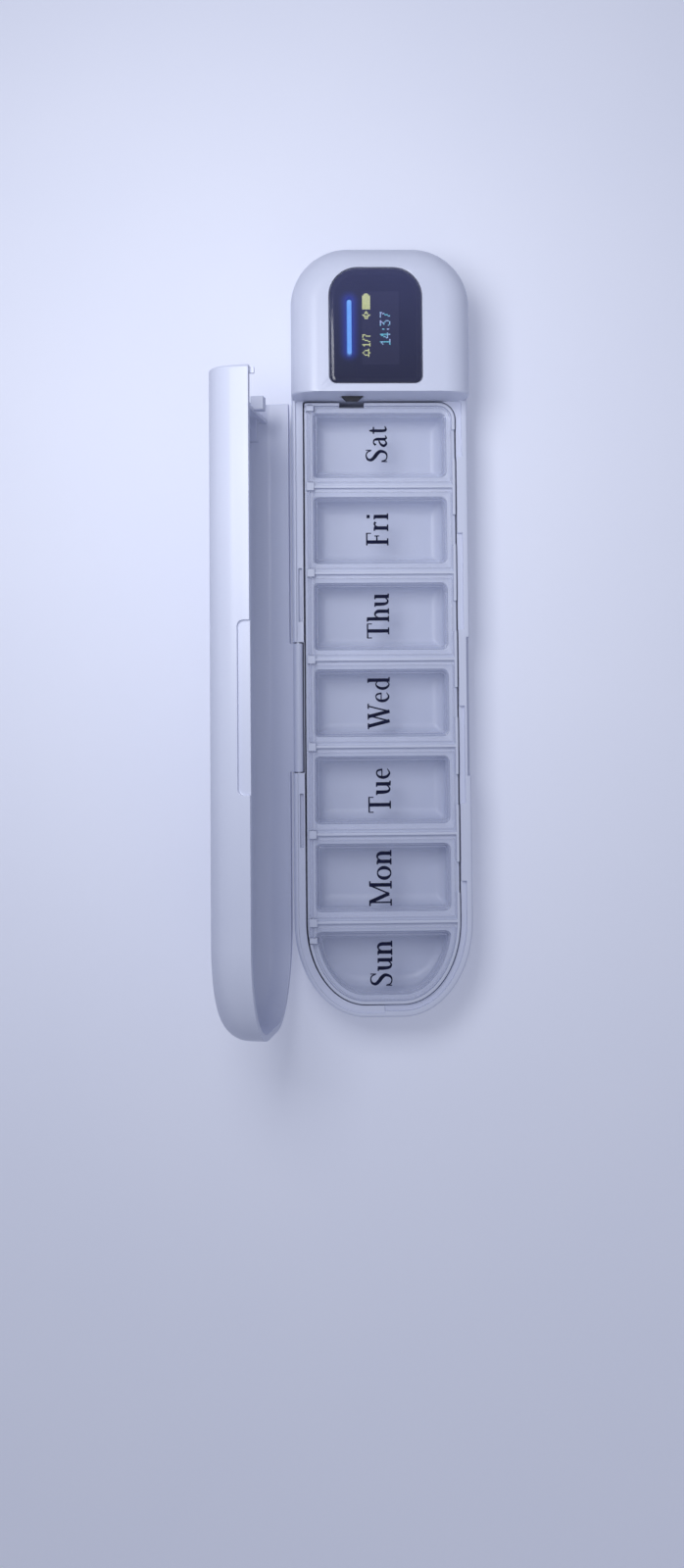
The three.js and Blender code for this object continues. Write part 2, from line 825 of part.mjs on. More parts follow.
function sensorNose() {
  const shape = new THREE.Shape();
  const half = noseWidth / 2;
  const tipHalf = noseTipWidth / 2;
  shape.moveTo(noseTip, noseShift - tipHalf);
  shape.lineTo(jointX, noseShift - half);
  shape.lineTo(noseFlangeStart, noseShift - half);
  shape.lineTo(noseFlangeStart, noseShift - half - noseFlangeWidth);
  shape.lineTo(noseFlangeEnd, noseShift - half - noseFlangeWidth);
  shape.lineTo(noseFlangeEnd, noseShift - noseStemWidth / 2);
  shape.lineTo(noseStemEnd, noseShift - noseStemWidth / 2);
  shape.lineTo(noseStemEnd, noseShift + noseStemWidth / 2);
  shape.lineTo(noseFlangeEnd, noseShift + noseStemWidth / 2);
  shape.lineTo(noseFlangeEnd, noseShift + half + noseFlangeWidth);
  shape.lineTo(noseFlangeStart, noseShift + half + noseFlangeWidth);
  shape.lineTo(noseFlangeStart, noseShift + half);
  shape.lineTo(jointX, noseShift + half);
  shape.lineTo(noseTip, noseShift + tipHalf);
  const geometry = new THREE.ExtrudeGeometry(shape, { depth: noseHeight, bevelEnabled: false });
  return solid(geometry.translate(0, 0, noseBottom));
}

function noseSwitch() {
  const start = noseStemEnd + noseTravel + clearance;
  const middle = noseShift;
  return block(
    [start, middle - noseSwitchWidth / 2, mainBoardTop + clearance],
    [start + noseSwitchLength, middle + noseSwitchWidth / 2, noseTop + clearance],
  );
}

// Tray and day lids

// The tray's outline, whose front head corner is rounded about one middle.
function trayOutline(margin, head = trayHead) {
  const corner = Math.max(trayCorner + flangeInset - margin, squareCorner);
  return bodyOutline(margin, undefined, head, corner);
}

// The X range of one day's lid, counted from the head.
function dayRange(day) {
  const head = jointX - day * dayPitch - dayGap / 2;
  return {
    tail: Math.max(head + dayGap - dayPitch, tailEnd + recessInset + lidGap),
    head: Math.min(head, trayHead - lipWidth - lidGap),
  };
}

// The X range of one day's hinge barrel: shorter at both ends of the row.
function barrelRange(day) {
  const range = dayRange(day);
  const firstHead = trayHead - lipWidth - endEarWidth - clearance;
  return {
    head: day === 0 ? firstHead : range.head,
    tail: day === dayCount - 1 ? range.head - tailBarrelLength : range.tail,
  };
}

// The ears that hold the lids' pins: one at each divider and one at each end.
function ears() {
  const list = [];
  for (let divider = 1; divider < dayCount; divider += 1) {
    const middle = jointX - divider * dayPitch;
    list.push([middle - earWidth / 2, middle + earWidth / 2]);
  }
  const first = barrelRange(0).head + clearance;
  const last = barrelRange(dayCount - 1).tail - clearance;
  list.push([first, first + endEarWidth], [last - endEarWidth, last]);
  return list;
}

// The mouth of one compartment drawn in by a margin. The last one has the tail's corners.
function mouthOutline(day, margin) {
  const range = dayRange(day);
  const inset = recessInset + pocketFrontWall;
  const last = day === dayCount - 1;
  const tail = last ? tailEnd + inset : range.tail + pocketEndWall;
  const head = range.head - pocketEndWall;
  const small = Math.max(pocketCorner - margin, squareCorner);
  const tailSize = [
    Math.min(tailCornerLength - inset, head - tail - pocketCorner - pocketRound) - margin,
    tailCornerWidth - inset - margin,
  ];
  return outline(
    [tail + margin, inset + margin - halfWidth],
    [head - margin, lidAxisY - pocketBackWall - margin],
    last ? tailSize : [small, small],
    [small, small],
  );
}

// A slab of one compartment's mouth, kept inside the tray's rounded tail.
function mouthSlab(day, margin, bottom, top) {
  const bound = trayOutline(recessInset + pocketFrontWall + margin);
  return prism(mouthOutline(day, margin), bottom, top).intersect(prism(bound, bottom, top));
}

// The hollow of one compartment, with a rounded floor and a little draft.
function pocket(day) {
  const at = (margin) => mouthOutline(day, margin);
  const hollow = loft([
    ...roundRings(at, pocketDraft, trayBottom + trayFloor, pocketRound, -1, pocketSteps),
    { points: at(0), z: recessFloor + clearance },
  ]);
  return hollow.intersect(mouthSlab(day, 0, trayBottom, recessFloor + clearance));
}

function pillTray() {
  const body = join(
    loft([
      { points: trayOutline(flangeInset + flangeWidth + pocketDraft), z: trayBottom },
      { points: trayOutline(flangeInset + flangeWidth), z: flangeUnderside + flangeThickness / 2 },
    ]),
    prism(trayOutline(flangeInset), flangeUnderside, flangeTop),
  );
  const recess = prism(
    trayOutline(recessInset, trayHead - lipWidth),
    recessFloor,
    flangeTop + overrun,
  );
  const hingeTail = barrelRange(dayCount - 1).tail - clearance - endEarWidth;
  const hingeRoom = block(
    [hingeTail - clearance, lidAxisY, recessFloor],
    [trayHead - lipWidth, halfWidth, flangeTop + overrun],
  );
  let tray = cut(body, recess, hingeRoom);
  for (let divider = 1; divider < dayCount; divider += 1) {
    const middle = jointX - divider * dayPitch;
    tray = join(tray, block(
      [middle - ridgeWidth / 2, -halfWidth + recessInset - lipWidth / 2, recessFloor - lipWidth],
      [middle + ridgeWidth / 2, lidAxisY, flangeTop],
    ));
  }
  ears().forEach(([from, to]) => {
    tray = join(tray, block(
      [from, lidAxisY - earDepth / 2, recessFloor - lipWidth],
      [to, lidAxisY + earDepth / 2, lidAxisZ + lidBarrelRadius],
    ));
    tray = cut(tray, rodX(
      lidPinRadius + clearance,
      from - clearance,
      to + clearance,
      lidAxisY,
      lidAxisZ,
    ));
  });
  for (let day = 0; day < dayCount; day += 1) {
    tray = cut(tray, pocket(day));
    const range = dayRange(day);
    const middle = (range.tail + range.head) / 2;
    if (day < dayCount - 1) {
      tray = cut(tray, block(
        [middle - nailNotchLength / 2, -halfWidth + flangeInset - overrun, recessFloor],
        [middle + nailNotchLength / 2, -halfWidth + recessInset + overrun, flangeTop + overrun],
      ));
    }
  }

  // Room for the sprung nose when the tray is lifted out.
  const noseRoom = noseWidth / 2 + clearance + clearance;
  return cut(tray, block(
    [noseTip - clearance - clearance, noseShift - noseRoom, trayBottom - overrun],
    [trayHead + overrun, noseShift + noseRoom, flangeTop + overrun],
  ));
}

function dayLid(day) {
  const range = dayRange(day);
  const barrel = barrelRange(day);
  const edge = trayOutline(recessInset + lidGap, trayHead - lipWidth - lidGap);
  const plate = prism(edge, lidUnderside, lidTop).intersect(block(
    [range.tail, -halfWidth, lidUnderside - overrun],
    [range.head, lidAxisY, lidTop + overrun],
  ));

  // A shallow frame below the plate drops into the compartment's mouth.
  const frameBottom = lidUnderside - lidFrameDrop;
  const frame = cut(
    mouthSlab(day, lidFrameGap, frameBottom, lidUnderside + lidThickness / 2),
    mouthSlab(day, lidFrameGap + lidFrameWidth, frameBottom - overrun, lidUnderside),
  );
  let lid = join(
    plate,
    frame,
    rodX(lidBarrelRadius, barrel.tail, barrel.head, lidAxisY, lidAxisZ),
  );
  const earRoom = earDepth / 2 + clearance + clearance;
  ears().forEach(([from, to]) => {
    lid = cut(lid, block(
      [from - clearance, lidAxisY - earRoom, lidUnderside - overrun],
      [to + clearance, lidAxisY + earRoom, bodyHeight],
    ));
  });
  return join(lid, rodX(
    lidPinRadius,
    barrel.tail - clearance - lidPinReach,
    barrel.head + clearance + lidPinReach,
    lidAxisY,
    lidAxisZ,
  ));
}

// Cover

function coverShell() {
  const coverAt = (margin) => bodyOutline(margin, undefined, coverHead);
  const outer = loft([
    { points: coverAt(0), z: coverRim },
    ...roundRings(coverAt, 0, bodyHeight, crownRound, 1, crownSteps),
  ]);
  const insideAt = (margin) => bodyOutline(margin, undefined, coverHead + overrun);
  const inner = loft([
    { points: insideAt(wall), z: coverRim - overrun },
    ...roundRings(insideAt, wall, plateUnderside, crownRound - wall, 1),
  ]);
  let shell = cut(outer, inner);

  // The end rib closes the bay a little way in from the cover's square end.
  const ribHead = coverHead - endRibPlace;
  const endRib = outer.intersect(block(
    [ribHead - endRibWidth, -halfWidth, coverRim + endRibClear],
    [ribHead, halfWidth, bodyHeight],
  ));
  const striker = block(
    [ribHead - endRibWidth / 2, noseShift - noseTipWidth / 2, noseBottom],
    [noseTip - clearance, noseShift + noseTipWidth / 2, coverRim + endRibClear + wall / 2],
  );
  const gussets = [0, 1].map((index) => {
    const y = halfWidth - crownRound - index * gussetSpacing;
    return block(
      [ribHead - endRibWidth / 2 - gussetLength, y - gussetWidth, plateUnderside - gussetDepth],
      [ribHead - endRibWidth / 2, y, plateUnderside + wall / 2],
    );
  });
  shell = join(shell, endRib, striker, ...gussets);

  // A bead follows the plate's edge inside, broken where the moulding has gates.
  const beadHead = ribHead - endRibWidth - gussetLength;
  const beadAt = (margin) => bodyOutline(beadPlace + margin, undefined, beadHead);
  const beadBottom = plateUnderside - beadDepth;
  let bead = cut(
    prism(beadAt(0), beadBottom, plateUnderside + wall / 2),
    prism(beadAt(beadWidth), beadBottom - overrun, bodyHeight),
  );
  const breakBead = (middle, length) => {
    bead = cut(bead, block(
      [middle - length / 2, -halfWidth, beadBottom - overrun],
      [middle + length / 2, halfWidth, bodyHeight],
    ));
  };
  for (let divider = 1; divider < dayCount; divider += 2) {
    breakBead(jointX - divider * dayPitch, beadGap);
  }
  breakBead(coverMiddle, beadMiddleGap);
  shell = join(shell, bead);

  // The finger recess in the front rim and the small lock tab beside the head.
  shell = cut(shell, coverScoop());
  const tabTail = coverHead - lockTabLength - clearance;
  const tabFace = -halfWidth + frontStrip + clearance;
  shell = join(
    shell,
    block(
      [tabTail, tabFace, coverRim - lockTabDrop],
      [coverHead - clearance, tabFace + lockTabWidth, coverRim + wall],
    ),
    block(
      [tabTail, -halfWidth + wall / 2, coverRim],
      [coverHead - clearance, tabFace + lockTabWidth, coverRim + wall],
    ),
  );

  // The hinge tongue ends in a barrel that is bored from both sides for its pins.
  const tongueStart = coverMiddle - hingeLength / 2 + clearance;
  const tongueEnd = coverMiddle + hingeLength / 2 - clearance;
  shell = join(
    shell,
    block([tongueStart, halfWidth - wall, axisZ], [tongueEnd, halfWidth, coverRim + wall]),
    rodX(barrelRadius, tongueStart, tongueEnd, axisY, axisZ),
  );
  [-1, 1].forEach((side) => {
    const edge = coverMiddle + side * hingeLength / 2;
    shell = cut(shell, rodX(
      pinRadius + clearance,
      edge - pinHalf - clearance,
      edge + pinHalf + clearance,
      axisY,
      axisZ,
    ));
  });
  return shell;
}

// The finger recess sunk into the cover's front face, open at its rim.
function coverScoop() {
  const start = coverMiddle - coverFingerLength / 2;
  const end = coverMiddle + coverFingerLength / 2;
  const top = coverRim + coverFingerHeight;
  const shape = new THREE.Shape();
  shape.moveTo(start, coverRim - overrun);
  shape.lineTo(end, coverRim - overrun);
  shape.lineTo(end, top - fingerCorner);
  shape.absarc(end - fingerCorner, top - fingerCorner, fingerCorner, 0, Math.PI / 2, false);
  shape.absarc(start + fingerCorner, top - fingerCorner, fingerCorner, Math.PI / 2, Math.PI, false);
  const depth = coverFingerDepth + overrun;
  const geometry = new THREE.ExtrudeGeometry(shape, {
    depth, bevelEnabled: false, curveSegments: roundSteps,
  });
  return solid(geometry.rotateX(Math.PI / 2).translate(0, coverFingerDepth - halfWidth, 0));
}

// Assembly

const organizer = new THREE.Group();
organizer.add(
  piece('base_shell', baseShell(), whitePlastic),
  piece('head_cover', headCover(), whitePlastic),
  piece('display_window', prism(windowOutline(0), windowBottom, bodyHeight), blackGloss),
  piece('display_frame', displayFrame(), blackPlastic),
  piece('display_board', displayBoard(), boardGreen),
  piece('display_panel', displayPanel(), displayGlass),
  piece('light_bar', lightBar(), lightBlue),
  piece('display_flex', displayFlex(), flexAmber),
  piece('main_board', mainBoard(), boardGreen),
  piece('battery', battery(), cellFoil),
  piece('buzzer', buzzer(), blackPlastic),
  piece('usb_socket', usbSocket(), steel),
  piece('set_button', setButton(), whitePlastic),
  piece('button_switch', buttonSwitch(), blackPlastic),
  piece('sensor_nose', sensorNose(), blackPlastic),
  piece('nose_switch', noseSwitch(), blackPlastic),
);
casePosts.forEach(([x, y], index) => {
  const seat = caseScrewRecess - clearance;
  const shape = screw(caseScrew, x, y, seat, caseBossHeight + caseScrewBite - caseScrewRecess, 1);
  organizer.add(piece(`case_screw_${index + 1}`, shape, steel));
});
boardPosts.forEach(([x, y], index) => {
  const shape = screw(smallScrew, x, y, mainBoardTop + clearance, smallScrewBite, -1);
  organizer.add(piece(`board_screw_${index + 1}`, shape, steel));
});
framePosts.forEach((y, index) => {
  const shape = screw(smallScrew, displayX, y, displayFrameFloor - clearance, smallScrewBite, 1);
  organizer.add(piece(`frame_screw_${index + 1}`, shape, steel));
});
[-1, 1].forEach((side, index) => {
  const edge = coverMiddle + side * hingeLength / 2;
  const shape = rodX(pinRadius, edge - pinHalf + clearance, edge + pinHalf - clearance, axisY, axisZ);
  organizer.add(piece(`hinge_pin_${index + 1}`, shape, steel));
});

// The tray and its lids lie closed.
organizer.add(piece('pill_tray', pillTray(), innerPlastic));
for (let day = 0; day < dayCount; day += 1) {
  organizer.add(piece(`day_lid_${dayCount - day}`, dayLid(day), clearPlastic));
}

// The cover is swung back about its hinge axis.
const cover = piece('cover_shell', coverShell(), whitePlastic);
cover.position.set(0, -axisY, -axisZ);
const coverGroup = new THREE.Group();
coverGroup.position.set(0, axisY, axisZ);
coverGroup.rotation.x = THREE.MathUtils.degToRad(-openAngle);
coverGroup.add(cover);
organizer.add(coverGroup);

export default organizer;
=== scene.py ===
# %% [markdown]
# A seven-day pill organizer with an alarm head, dressed over its CAD frame.
# The CAD model gives every piece its true size and place. Its curves are made of few flats,
# so this lesson builds finer shells over the same sizes, then gives each surface its finish.
# All shapes are drawn in millimetres and brought down to metres once, when a piece is done.

# %% Load the frame
import json
import math
from functools import partial, partialmethod
import bmesh
import bpy
from mathutils import Matrix, Vector
from mathutils.bvhtree import BVHTree


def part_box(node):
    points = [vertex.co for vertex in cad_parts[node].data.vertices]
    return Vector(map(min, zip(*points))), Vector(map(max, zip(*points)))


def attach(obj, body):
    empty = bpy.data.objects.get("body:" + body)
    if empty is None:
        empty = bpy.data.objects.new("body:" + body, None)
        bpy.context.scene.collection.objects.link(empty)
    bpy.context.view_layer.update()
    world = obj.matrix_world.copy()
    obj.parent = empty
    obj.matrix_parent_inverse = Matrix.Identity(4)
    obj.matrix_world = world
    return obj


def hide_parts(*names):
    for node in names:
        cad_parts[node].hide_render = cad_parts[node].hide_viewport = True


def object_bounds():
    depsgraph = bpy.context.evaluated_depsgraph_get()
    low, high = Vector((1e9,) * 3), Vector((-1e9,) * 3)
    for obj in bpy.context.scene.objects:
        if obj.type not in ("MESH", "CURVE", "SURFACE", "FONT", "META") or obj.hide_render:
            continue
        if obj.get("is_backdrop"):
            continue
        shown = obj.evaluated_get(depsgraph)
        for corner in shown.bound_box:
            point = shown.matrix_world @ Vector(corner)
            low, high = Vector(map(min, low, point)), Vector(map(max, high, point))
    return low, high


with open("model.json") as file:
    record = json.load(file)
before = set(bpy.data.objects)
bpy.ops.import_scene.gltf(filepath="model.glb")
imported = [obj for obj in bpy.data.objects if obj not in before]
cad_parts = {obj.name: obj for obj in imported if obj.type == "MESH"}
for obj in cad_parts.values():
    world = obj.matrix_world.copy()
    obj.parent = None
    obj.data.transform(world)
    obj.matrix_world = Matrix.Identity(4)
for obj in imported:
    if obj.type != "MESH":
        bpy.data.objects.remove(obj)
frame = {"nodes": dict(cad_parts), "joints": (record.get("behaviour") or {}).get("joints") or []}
cad_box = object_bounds()
MM = 0.001
scene = bpy.context.scene


def box_mm(node):
    """The lowest and highest corner of a CAD node, in millimetres."""
    low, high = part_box(node)
    return low / MM, high / MM


# %% [markdown]
# The camera looks almost straight down from a little below the middle of the tray, with the
# head at the top of the picture. Its place and tilt come from fitting the outlines, the
# dividers and the open cover. The object sits a little above the picture's middle, so the
# lens is shifted by that much and no more.

# %% Camera
frame_height = 1600
object_middle_row = 662
camera_data = bpy.data.cameras.new("camera")
camera_data.sensor_fit = "VERTICAL"
camera_data.sensor_height = 36
camera_data.lens = 32.87
camera_data.shift_y = (object_middle_row - frame_height / 2) / frame_height
camera = bpy.data.objects.new("camera", camera_data)
camera.location = (-0.0234, 0.0235, 0.4452)
camera.rotation_euler = [math.radians(angle) for angle in (2.51, -1.54, -90.46)]
scene.collection.objects.link(camera)
scene.camera = camera
print("camera height above the table, mm:", round(camera.location.z / MM))

# %% [markdown]
# The light is soft and comes from the head end, so the crown's round edge is bright, each
# compartment is shaded behind its head-side wall, and the tail rounds off into shade. A
# small panel above the head does that, a wide and distant one beyond the tail fills in, and
# the world gives the pale blue of a cool studio.

# %% Light
scene.view_settings.view_transform = "Standard"
panel_power, panel_colour = 0.25, (0.93, 0.95, 1.0)


def panel_light(name, place, target, size):
    """A soft light that faces its target. It returns the lamp's data."""
    data = bpy.data.lights.new(name, "AREA")
    data.shape = "RECTANGLE"
    data.size, data.size_y = size
    data.energy, data.color = panel_power, panel_colour
    light = bpy.data.objects.new(name, data)
    light.location = place
    light.rotation_euler = (Vector(target) - Vector(place)).to_track_quat("-Z", "Y").to_euler()
    scene.collection.objects.link(light)
    return data


head_panel = panel_light("head_panel", (0.085, 0.095, 0.30), (0.075, 0.01, 0.0), (0.16, 0.12))
head_panel.spread = math.radians(125)
panel_light("tail_panel", (-0.60, -0.25, 0.70), (0.0, 0.0, 0.0), (0.50, 0.50))
print("panels are placed")

# %% [markdown]
# A finish is a small network of nodes, and so is a shape that repeats. Written by hand a
# network is long, so three helpers shorten it. A Wire is one value in the network, and plain
# arithmetic on wires adds the nodes that work it out. A Network adds any other node, and a
# Finish is the network of one material.

# %% Wires, networks and finishes
class Wire:
    """One value of a network, which takes part in arithmetic."""

    def __init__(self, network, socket):
        self.network = network
        self.socket = socket

    def math(self, operation, *others):
        inputs = dict(enumerate((self, *others)))
        return self.network.node("ShaderNodeMath", inputs, operation=operation)

    __add__ = __radd__ = partialmethod(math, "ADD")
    __sub__ = partialmethod(math, "SUBTRACT")
    __mul__ = __rmul__ = partialmethod(math, "MULTIPLY")
    __truediv__ = partialmethod(math, "DIVIDE")
    __gt__ = partialmethod(math, "GREATER_THAN")
    __lt__ = partialmethod(math, "LESS_THAN")
    __abs__ = partialmethod(math, "ABSOLUTE")

    def __rsub__(self, other):
        return self.math("MULTIPLY_ADD", -1, other)

    def ramp(self, start, end):
        """0 below start, 1 above end, and straight between them."""
        inputs = {"Value": self, "From Min": start, "From Max": end}
        return self.network.node("ShaderNodeMapRange", inputs)


class Network:
    """A tree of nodes, written as calls."""

    def __init__(self, tree):
        self.tree = tree

    def node(self, kind, inputs=None, output=0, **settings):
        """Adds a node, sets it, and returns the wire from one of its outputs."""
        made = self.tree.nodes.new(kind)
        for key, value in settings.items():
            setattr(made, key, value)
        for key, value in (inputs or {}).items():
            self.feed(made.inputs[key], value)
        return Wire(self, made.outputs[output])

    def feed(self, socket, value):
        """Gives a socket a plain value, a wire, or a list of wires."""
        for one in value if isinstance(value, list) else [value]:
            if isinstance(one, Wire):
                self.tree.links.new(one.socket, socket)
            else:
                socket.default_value = one


class Finish(Network):
    """A material made of nodes, ending in one Principled surface."""

    def __init__(self, name, **constants):
        self.material = bpy.data.materials.new(name)
        self.material.use_nodes = True
        super().__init__(self.material.node_tree)
        self.surface = next(n for n in self.tree.nodes if n.type == "BSDF_PRINCIPLED")
        self.wear(**constants)
        self.place = self.node("ShaderNodeTexCoord", output="Object")

    def wear(self, **values):
        """Leads wires or plain values to the surface's own sockets."""
        for socket, value in values.items():
            self.feed(self.surface.inputs[socket.replace("_", " ")], value)

    def noise(self, size, detail=3, stretch=(1, 1, 1)):
        """Cloudy noise from 0 to 1 whose blobs are about size millimetres."""
        place = self.node("ShaderNodeMapping", {"Vector": self.place, "Scale": stretch})
        inputs = {"Vector": place, "Scale": 1 / (size * MM), "Detail": detail}
        return self.node("ShaderNodeTexNoise", inputs)

    def axis(self, letter):
        """The place along one axis, in millimetres."""
        return self.node("ShaderNodeSeparateXYZ", {0: self.place}, letter) * (1 / MM)

    def mix(self, factor, first, second):
        """A colour that goes from the first code to the second as factor goes from 0 to 1."""
        inputs = {0: factor, 6: paint(first), 7: paint(second)}
        return self.node("ShaderNodeMix", inputs, 2, data_type="RGBA")

    def dress(self, tint, first, second, roughness, height, depth, **more):
        """Tints the surface between two colours, sets its gloss, and raises it by height, a
        wire from 0 to 1, times depth millimetres."""
        bump = {"Height": height, "Distance": depth * MM, "Strength": 1}
        self.wear(Base_Color=self.mix(tint, first, second), Roughness=roughness,
                  Normal=self.node("ShaderNodeBump", bump), **more)


def paint(code):
    """The linear colour of a code such as c8ccd8, as a shader wants it."""
    parts = [int(code[i:i + 2], 16) / 255 for i in (0, 2, 4)]
    linear = [((p + 0.055) / 1.055) ** 2.4 if p > 0.04045 else p / 12.92 for p in parts]
    return (*linear, 1)


print("finish tools are ready")

# %% [markdown]
# The housing is moulded from a pale lavender-white plastic. A real moulding isn't one flat
# colour: its tint drifts a little, its satin skin is finely grained from the tool, and
# handling leaves faint cloudy patches where it is glossier.

# %% White, inner and black plastics
def moulded(name, light, dark, rough, grain, grain_depth):
    """A satin moulded plastic with drifting tint, cloudy gloss and a fine grain."""
    finish = Finish(name, IOR=1.5)
    speckle = finish.noise(0.9, 2)
    finish.dress(finish.noise(38, 2) * 0.8 + speckle * 0.2, dark, light,
                 rough + finish.noise(14) * 0.12 - speckle * 0.04,
                 finish.noise(grain, 2), grain_depth)
    return finish.material


white_plastic = moulded("white_plastic", "dde1f1", "d3d7e9", 0.30, 0.35, 0.012)
inner_plastic = moulded("inner_plastic", "d7dbea", "cbd0e2", 0.38, 0.28, 0.010)
black_plastic = moulded("black_plastic", "151622", "0d0e18", 0.46, 0.25, 0.020)
print("moulded plastics are mixed")

# %% [markdown]
# The floor is a plain pale table. It takes the tint of the cool studio light and keeps the
# object's soft shadow, and a very faint tooth keeps it from looking like a void. It glows a
# little, but only for the camera. The world is brighter to the camera, in reflections and
# through clear plastic than the light it sheds.

# %% Table and world
paper = Finish("table_paper", Emission_Strength=0.16)
seen = paper.node("ShaderNodeLightPath", output="Is Camera Ray")
paper.dress(paper.noise(60, 2), "eceef9", "e7eaf7", 0.85, paper.noise(0.8), 0.02,
            Emission_Color=paper.mix(seen, "000000", "e4e8f8"))
bpy.ops.mesh.primitive_plane_add(size=6)
table = bpy.context.object
table.name = "table"
table.data.materials.append(paper.material)
table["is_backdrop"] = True

world = scene.world = bpy.data.worlds.new("studio")
world.use_nodes = True
studio = Network(world.node_tree)
studio.tree.nodes.remove(studio.tree.nodes["Background"])
air, backdrop = (studio.node("ShaderNodeBackground", {"Color": paint(code), "Strength": strength})
                 for code, strength in (("d6ddf5", 0.42), ("dde2f4", 0.9)))
camera_ray, glossy_ray, clear_ray = (studio.node("ShaderNodeLightPath", output=f"Is {ray} Ray")
                                     for ray in ("Camera", "Glossy", "Transmission"))
shown = camera_ray.math("MAXIMUM", glossy_ray).math("MAXIMUM", clear_ray)
blend = studio.node("ShaderNodeMixShader", {0: shown, 1: air, 2: backdrop})
studio.feed(studio.tree.nodes["World Output"].inputs["Surface"], blend)
print("stage is set")

# %% [markdown]
# Every shell of this object has the same plan: a long strip with round ends. So one function
# draws that plan, drawn in by any margin, and another stacks plans at several heights into a
# closed solid. Cutting one such solid out of another gives walls, rims and ledges.

# %% Sizes from the frame
base_low, base_high = box_mm("base_shell")
crown_low, crown_high = box_mm("head_cover")
tray_low, tray_high = box_mm("pill_tray")
tail_end, head_end = base_low.x, base_high.x
half_width = base_high.y
parting = base_high.z
joint_x = crown_low.x
crown_top = crown_high.z
wall, clearance, overrun = 1.8, 0.3, 2.0
crown_round, bottom_round, rim_round = 8.0, 5.0, 0.8
head_corner, tail_corner, square_corner = 17.0, (28.0, 21.0), 0.8
cover_head = joint_x - 0.4
cover_middle = (tail_end + cover_head) / 2
cover_rim = parting + clearance
plate_underside = crown_top - wall
head_inside = joint_x + wall
print("body, mm:", head_end - tail_end, "by", 2 * half_width, "by", round(crown_top, 2))


# %% Plans and solids
def span(middle, width):
    return middle - width / 2, middle + width / 2


def quarter_turn(steps):
    """Angles from 0 to a right angle, in even steps."""
    return [step / steps * math.pi / 2 for step in range(steps + 1)]


def solid(name, corners, faces):
    """A mesh object in millimetres, with its faces turned outwards."""
    mesh = bpy.data.meshes.new(name)
    mesh.from_pydata(corners, [], faces)
    shape = bmesh.new()
    shape.from_mesh(mesh)
    bmesh.ops.recalc_face_normals(shape, faces=shape.faces)
    shape.to_mesh(mesh)
    shape.free()
    piece = bpy.data.objects.new(name, mesh)
    scene.collection.objects.link(piece)
    return piece


def plan(x, y, tail, head, front=None, steps=20):
    """A plan outline between two X and two Y, whose corners are quarter ellipses. The front
    head corner may differ."""
    front = front or head
    middles = [
        (x[1] - head[0], y[1] - head[1], head),
        (x[0] + tail[0], y[1] - tail[1], tail),
        (x[0] + tail[0], y[0] + tail[1], tail),
        (x[1] - front[0], y[0] + front[1], front),
    ]
    return [(middle_x + corner[0] * math.cos(angle), middle_y + corner[1] * math.sin(angle))
            for quarter, (middle_x, middle_y, corner) in enumerate(middles)
            for angle in ((quarter + step / steps) * math.pi / 2 for step in range(steps + 1))]


def body_plan(margin, square_tail=None, square_head=None, front_corner=square_corner):
    """The body's plan drawn in by a margin. An end given as a place is square, but for the
    rounding that its front head corner may have."""
    square = (square_corner, square_corner)
    round_tail = (tail_corner[0] - margin, tail_corner[1] - margin)
    round_head = (head_corner - margin, head_corner - margin)
    return plan(
        (tail_end + margin if square_tail is None else square_tail,
         head_end - margin if square_head is None else square_head),
        span(0, 2 * (half_width - margin)),
        round_tail if square_tail is None else square,
        round_head if square_head is None else square,
        round_head if square_head is None else (front_corner, front_corner),
    )


def prisms(name, levels, count):
    """A closed solid through levels of corners, with count corners on each."""
    faces = [tuple(reversed(range(count)))]
    for level in range(len(levels) - 1):
        for index in range(count):
            here, after = level * count + index, level * count + (index + 1) % count
            faces.append((here, after, after + count, here + count))
    top = (len(levels) - 1) * count
    faces.append(tuple(range(top, top + count)))
    return solid(name, [corner for level in levels for corner in level], faces)


def loft(name, rings):
    """A closed solid through plans of equal count: rings holds (plan, height), bottom first."""
    return prisms(name, [[(x, y, z) for x, y in points] for points, z in rings], len(rings[0][0]))


def round_rings(shape_at, margin, flat, radius, side, steps=7):
    """Rings of a quarter round that draws a plan in towards a flat top (1) or bottom (-1)."""
    rings = [(shape_at(margin + radius * (1 - math.cos(angle))),
              flat - side * radius * (1 - math.sin(angle))) for angle in quarter_turn(steps)]
    return rings if side > 0 else rings[::-1]


def along_x(rings, y, z):
    """A loft that runs along X about a line at y, z. Its plans hold (height down, width)."""
    piece = loft("along", rings)
    piece.data.transform(Matrix.Rotation(math.pi / 2, 4, "Y"))
    piece.data.transform(Matrix.Translation((0, y, z)))
    return piece


def prism(points, bottom, top):
    return loft("prism", [(points, bottom), (points, top)])


def block(x, y, z):
    """A block between a low and a high place on each axis."""
    return prism([(x[0], y[0]), (x[1], y[0]), (x[1], y[1]), (x[0], y[1])], *z)


def circle(radius, middle=(0, 0), sides=48):
    return [(middle[0] + radius * math.cos(a), middle[1] + radius * math.sin(a))
            for a in (2 * math.pi * i / sides for i in range(sides))]


def rod(radius, start, end, sides):
    """A round rod from one point to another."""
    start, end = Vector(start), Vector(end)
    turn = (end - start).to_track_quat("Z", "Y").to_matrix()
    rims = [[start + turn @ Vector((x, y, height)) for x, y in circle(radius, sides=sides)]
            for height in (0, (end - start).length)]
    return prisms("rod", rims, sides)


def rod_x(radius, ends, y, z, sides=32):
    return rod(radius, (ends[0], y, z), (ends[1], y, z), sides)


def rod_z(radius, ends, x, y, sides=32):
    return rod(radius, (x, y, ends[0]), (x, y, ends[1]), sides)


print("solid tools are ready")

# %% [markdown]
# A Boolean modifier joins or cuts two solids. Each tool is used once and then thrown away,
# so these helpers read as a list of steps, much as a toolmaker would give them.

